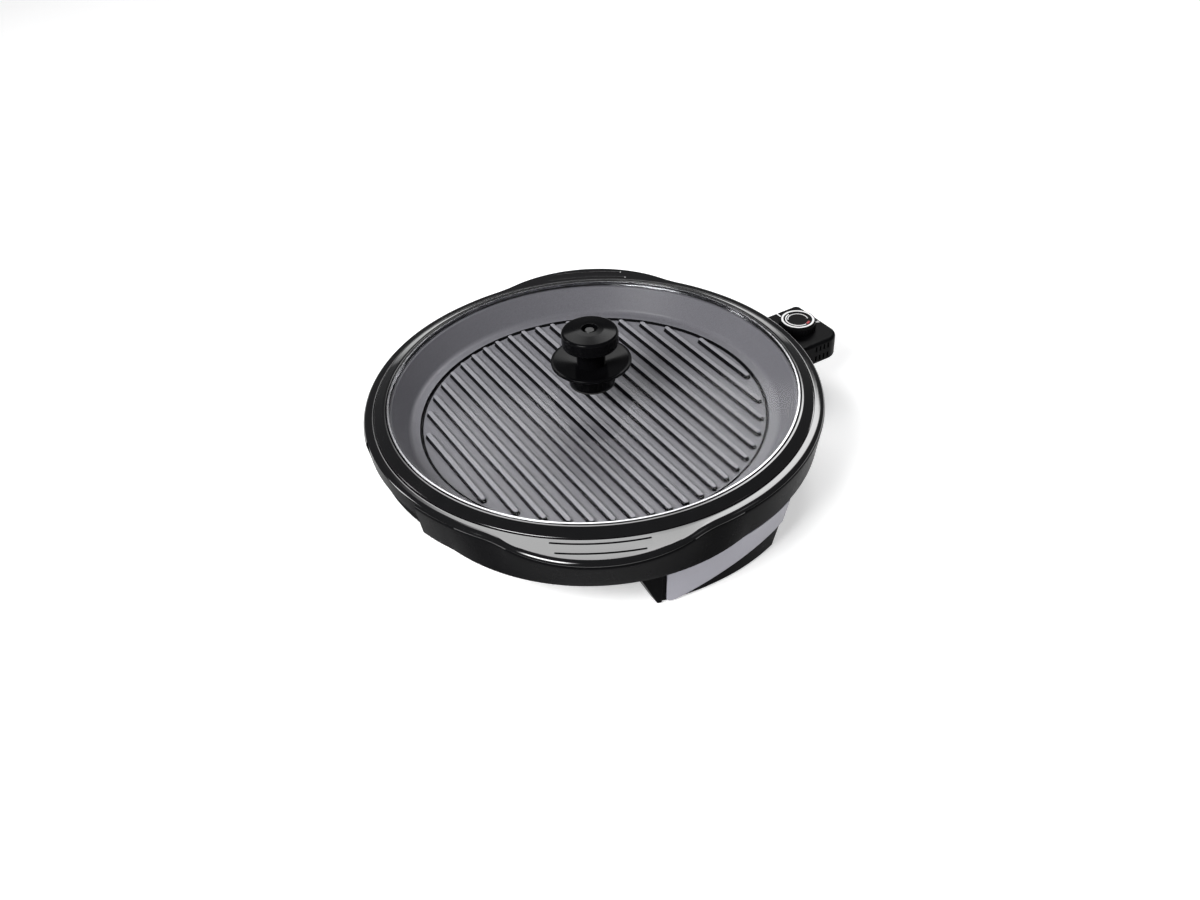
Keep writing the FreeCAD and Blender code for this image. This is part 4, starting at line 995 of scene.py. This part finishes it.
class GRILL_OT_fittings(bpy.types.Operator):
    """Gives the pieces under the plate and inside the heat control their finishes"""
    bl_idname = "grill.fittings"
    bl_label = "Fittings"

    def execute(self, context):
        groups = {
            "black_sheet": ("heat_shield",),
            "sheet_steel": ("terminal_guard", "element_clips"),
            "screw_steel": ("clip_screws", "guard_screws", "shield_screws", "plate_screws", "leg_screws",
                            "control_screws", "knob_washer", "knob_nut", "dial_shaft"),
            "dark_screw": ("knob_screw",),
            "element_sheath": ("heating_element", "heat_sensor"),
            "contact_brass": ("terminal_pins", "receptacles"),
            "fired_clay": ("terminal_beads", "thermostat", "contact_block"),
            "soft_rubber": ("leg_pads", "knob_seal"),
            "control_plastic": ("cord_outlet",),
        }
        for look, nodes in groups.items():
            for node in nodes:
                mesh = frame["nodes"][node].data
                mesh.materials.clear()
                mesh.materials.append(finish(look))
        return {"FINISHED"}


# Studio

def softbox(name, azimuth, elevation, distance, size, radiance, edges):
    """Area lamp that faces the grill and fades towards its edges. Azimuth runs from behind to the right."""
    azimuth, elevation = math.radians(azimuth), math.radians(elevation)
    lamp = bpy.data.lights.new(name, "AREA")
    lamp.shape = "RECTANGLE"
    lamp.size, lamp.size_y = size
    lamp.energy = LAMP_POWER * size[0] * size[1] * radiance
    lamp.use_nodes = True
    tree = lamp.node_tree
    glow = next(node for node in tree.nodes if node.type == "EMISSION")
    across = tree.nodes.new("ShaderNodeNewGeometry").outputs["Parametric"]
    place = add(tree, "ShaderNodeSeparateXYZ", {0: across})
    shares = []
    for side, edge in enumerate(edges):
        doubled = calc(tree, "MULTIPLY", place.outputs[side], 2.0)
        centred = calc(tree, "ABSOLUTE", calc(tree, "SUBTRACT", doubled, 1.0))
        fade = add(tree, "ShaderNodeMapRange", {"Value": centred, "From Min": 1.0, "From Max": 1.0 - edge})
        fade.interpolation_type = "SMOOTHSTEP"
        shares.append(fade.outputs[0])
    tree.links.new(calc(tree, "MULTIPLY", *shares), glow.inputs["Strength"])
    stand = bpy.data.objects.new(name, lamp)
    bpy.context.scene.collection.objects.link(stand)
    level = math.cos(elevation)
    towards = Vector((math.sin(azimuth) * level, math.cos(azimuth) * level, math.sin(elevation)))
    stand.location = axis + LAMP_AIM + towards * distance
    stand.rotation_euler = towards.to_track_quat("Z", "Y").to_euler()
    return stand


def camera(studio):
    """Camera at the photograph's viewing angle."""
    shot = bpy.data.cameras.new("camera")
    shot.sensor_width = 36.0
    shot.sensor_fit = "HORIZONTAL"
    shot.lens = studio.lens
    shot.clip_end = 50.0
    stand = bpy.data.objects.new("camera", shot)
    bpy.context.scene.collection.objects.link(stand)
    aim = axis + Vector(studio.aim)
    away = Vector((0, -math.cos(studio.elevation), math.sin(studio.elevation)))
    right = Vector((1, 0, 0))
    up = away.cross(right)
    tilted_right = right * math.cos(studio.roll) + up * math.sin(studio.roll)
    tilted_up = up * math.cos(studio.roll) - right * math.sin(studio.roll)
    turn = Matrix((tilted_right, tilted_up, away)).transposed().to_4x4()
    stand.matrix_world = Matrix.Translation(aim + away * studio.distance) @ turn
    bpy.context.scene.camera = stand


class GRILL_OT_stage(bpy.types.Operator):
    """Sets the table top, the lamps and the camera"""
    bl_idname = "grill.stage"
    bl_label = "Studio"

    def execute(self, context):
        scene = context.scene
        studio = scene.grill_studio
        scene.view_settings.view_transform = "Standard"
        bm = bmesh.new()
        bmesh.ops.create_circle(bm, cap_ends=True, radius=TABLE_RADIUS, segments=96)
        table = linked("table_top", to_mesh(bm, "table_top"))
        paint, tree, shader, place = blank("table_paint")
        tinted(tree, noise(tree, place, 6.0), shader, scene.grill_finishes.floor, 0.99, 1.01)
        shader.inputs["Roughness"].default_value = 0.9
        shader.inputs["Specular IOR Level"].default_value = 0.1
        glow = tree.nodes.new("ShaderNodeLightPath")
        seen = calc(tree, "ADD", glow.outputs["Is Camera Ray"], glow.outputs["Is Glossy Ray"])
        seen = calc(tree, "ADD", seen, glow.outputs["Is Transmission Ray"])
        tree.links.new(calc(tree, "MULTIPLY", seen, TABLE_GLOW), shader.inputs["Emission Strength"])
        shader.inputs["Emission Color"].default_value = (1.0, 1.0, 1.0, 1.0)
        table.data.materials.append(paint)
        world = bpy.data.worlds.new("room")
        world.use_nodes = True
        air = world.node_tree.nodes["Background"]
        air.inputs["Color"].default_value = (0.97, 0.98, 1.0, 1.0)
        air.inputs["Strength"].default_value = studio.ambient
        scene.world = world
        for lamp in LAMPS:
            softbox(*lamp)
        camera(studio)
        return {"FINISHED"}


class GRILL_PT_panel(bpy.types.Panel):
    """Lists the grill's pieces and settings"""
    bl_idname = "GRILL_PT_panel"
    bl_label = "Table grill"
    bl_space_type = "VIEW_3D"
    bl_region_type = "UI"
    bl_category = "Grill"

    def draw(self, context):
        for maker in OPERATORS:
            self.layout.operator(maker.bl_idname)
        for group in GROUPS:
            settings = getattr(context.scene, group)
            box = self.layout.box()
            for name in settings.bl_rna.properties.keys():
                if name not in ("rna_type", "name"):
                    box.prop(settings, name)


OPERATORS = (GRILL_OT_ring, GRILL_OT_plate, GRILL_OT_lid, GRILL_OT_knob, GRILL_OT_legs, GRILL_OT_control,
             GRILL_OT_dial, GRILL_OT_fittings, GRILL_OT_stage)
GROUPS = {"grill_sizes": GrillSizes, "grill_finishes": GrillFinishes, "grill_studio": GrillStudio}


def register():
    for group in GROUPS.values():
        bpy.utils.register_class(group)
    for name, group in GROUPS.items():
        setattr(bpy.types.Scene, name, PointerProperty(type=group))
    for maker in OPERATORS:
        bpy.utils.register_class(maker)
    bpy.utils.register_class(GRILL_PT_panel)


def unregister():
    bpy.utils.unregister_class(GRILL_PT_panel)
    for maker in reversed(OPERATORS):
        bpy.utils.unregister_class(maker)
    for name, group in GROUPS.items():
        delattr(bpy.types.Scene, name)
        bpy.utils.unregister_class(group)


def main():
    """Makes every piece in order and sets the studio."""
    register()
    bpy.ops.grill.ring()
    bpy.ops.grill.plate()
    bpy.ops.grill.lid()
    bpy.ops.grill.knob()
    bpy.ops.grill.legs()
    bpy.ops.grill.control()
    bpy.ops.grill.dial()
    bpy.ops.grill.fittings()
    bpy.ops.grill.stage()


if __name__ == "__main__":
    main()
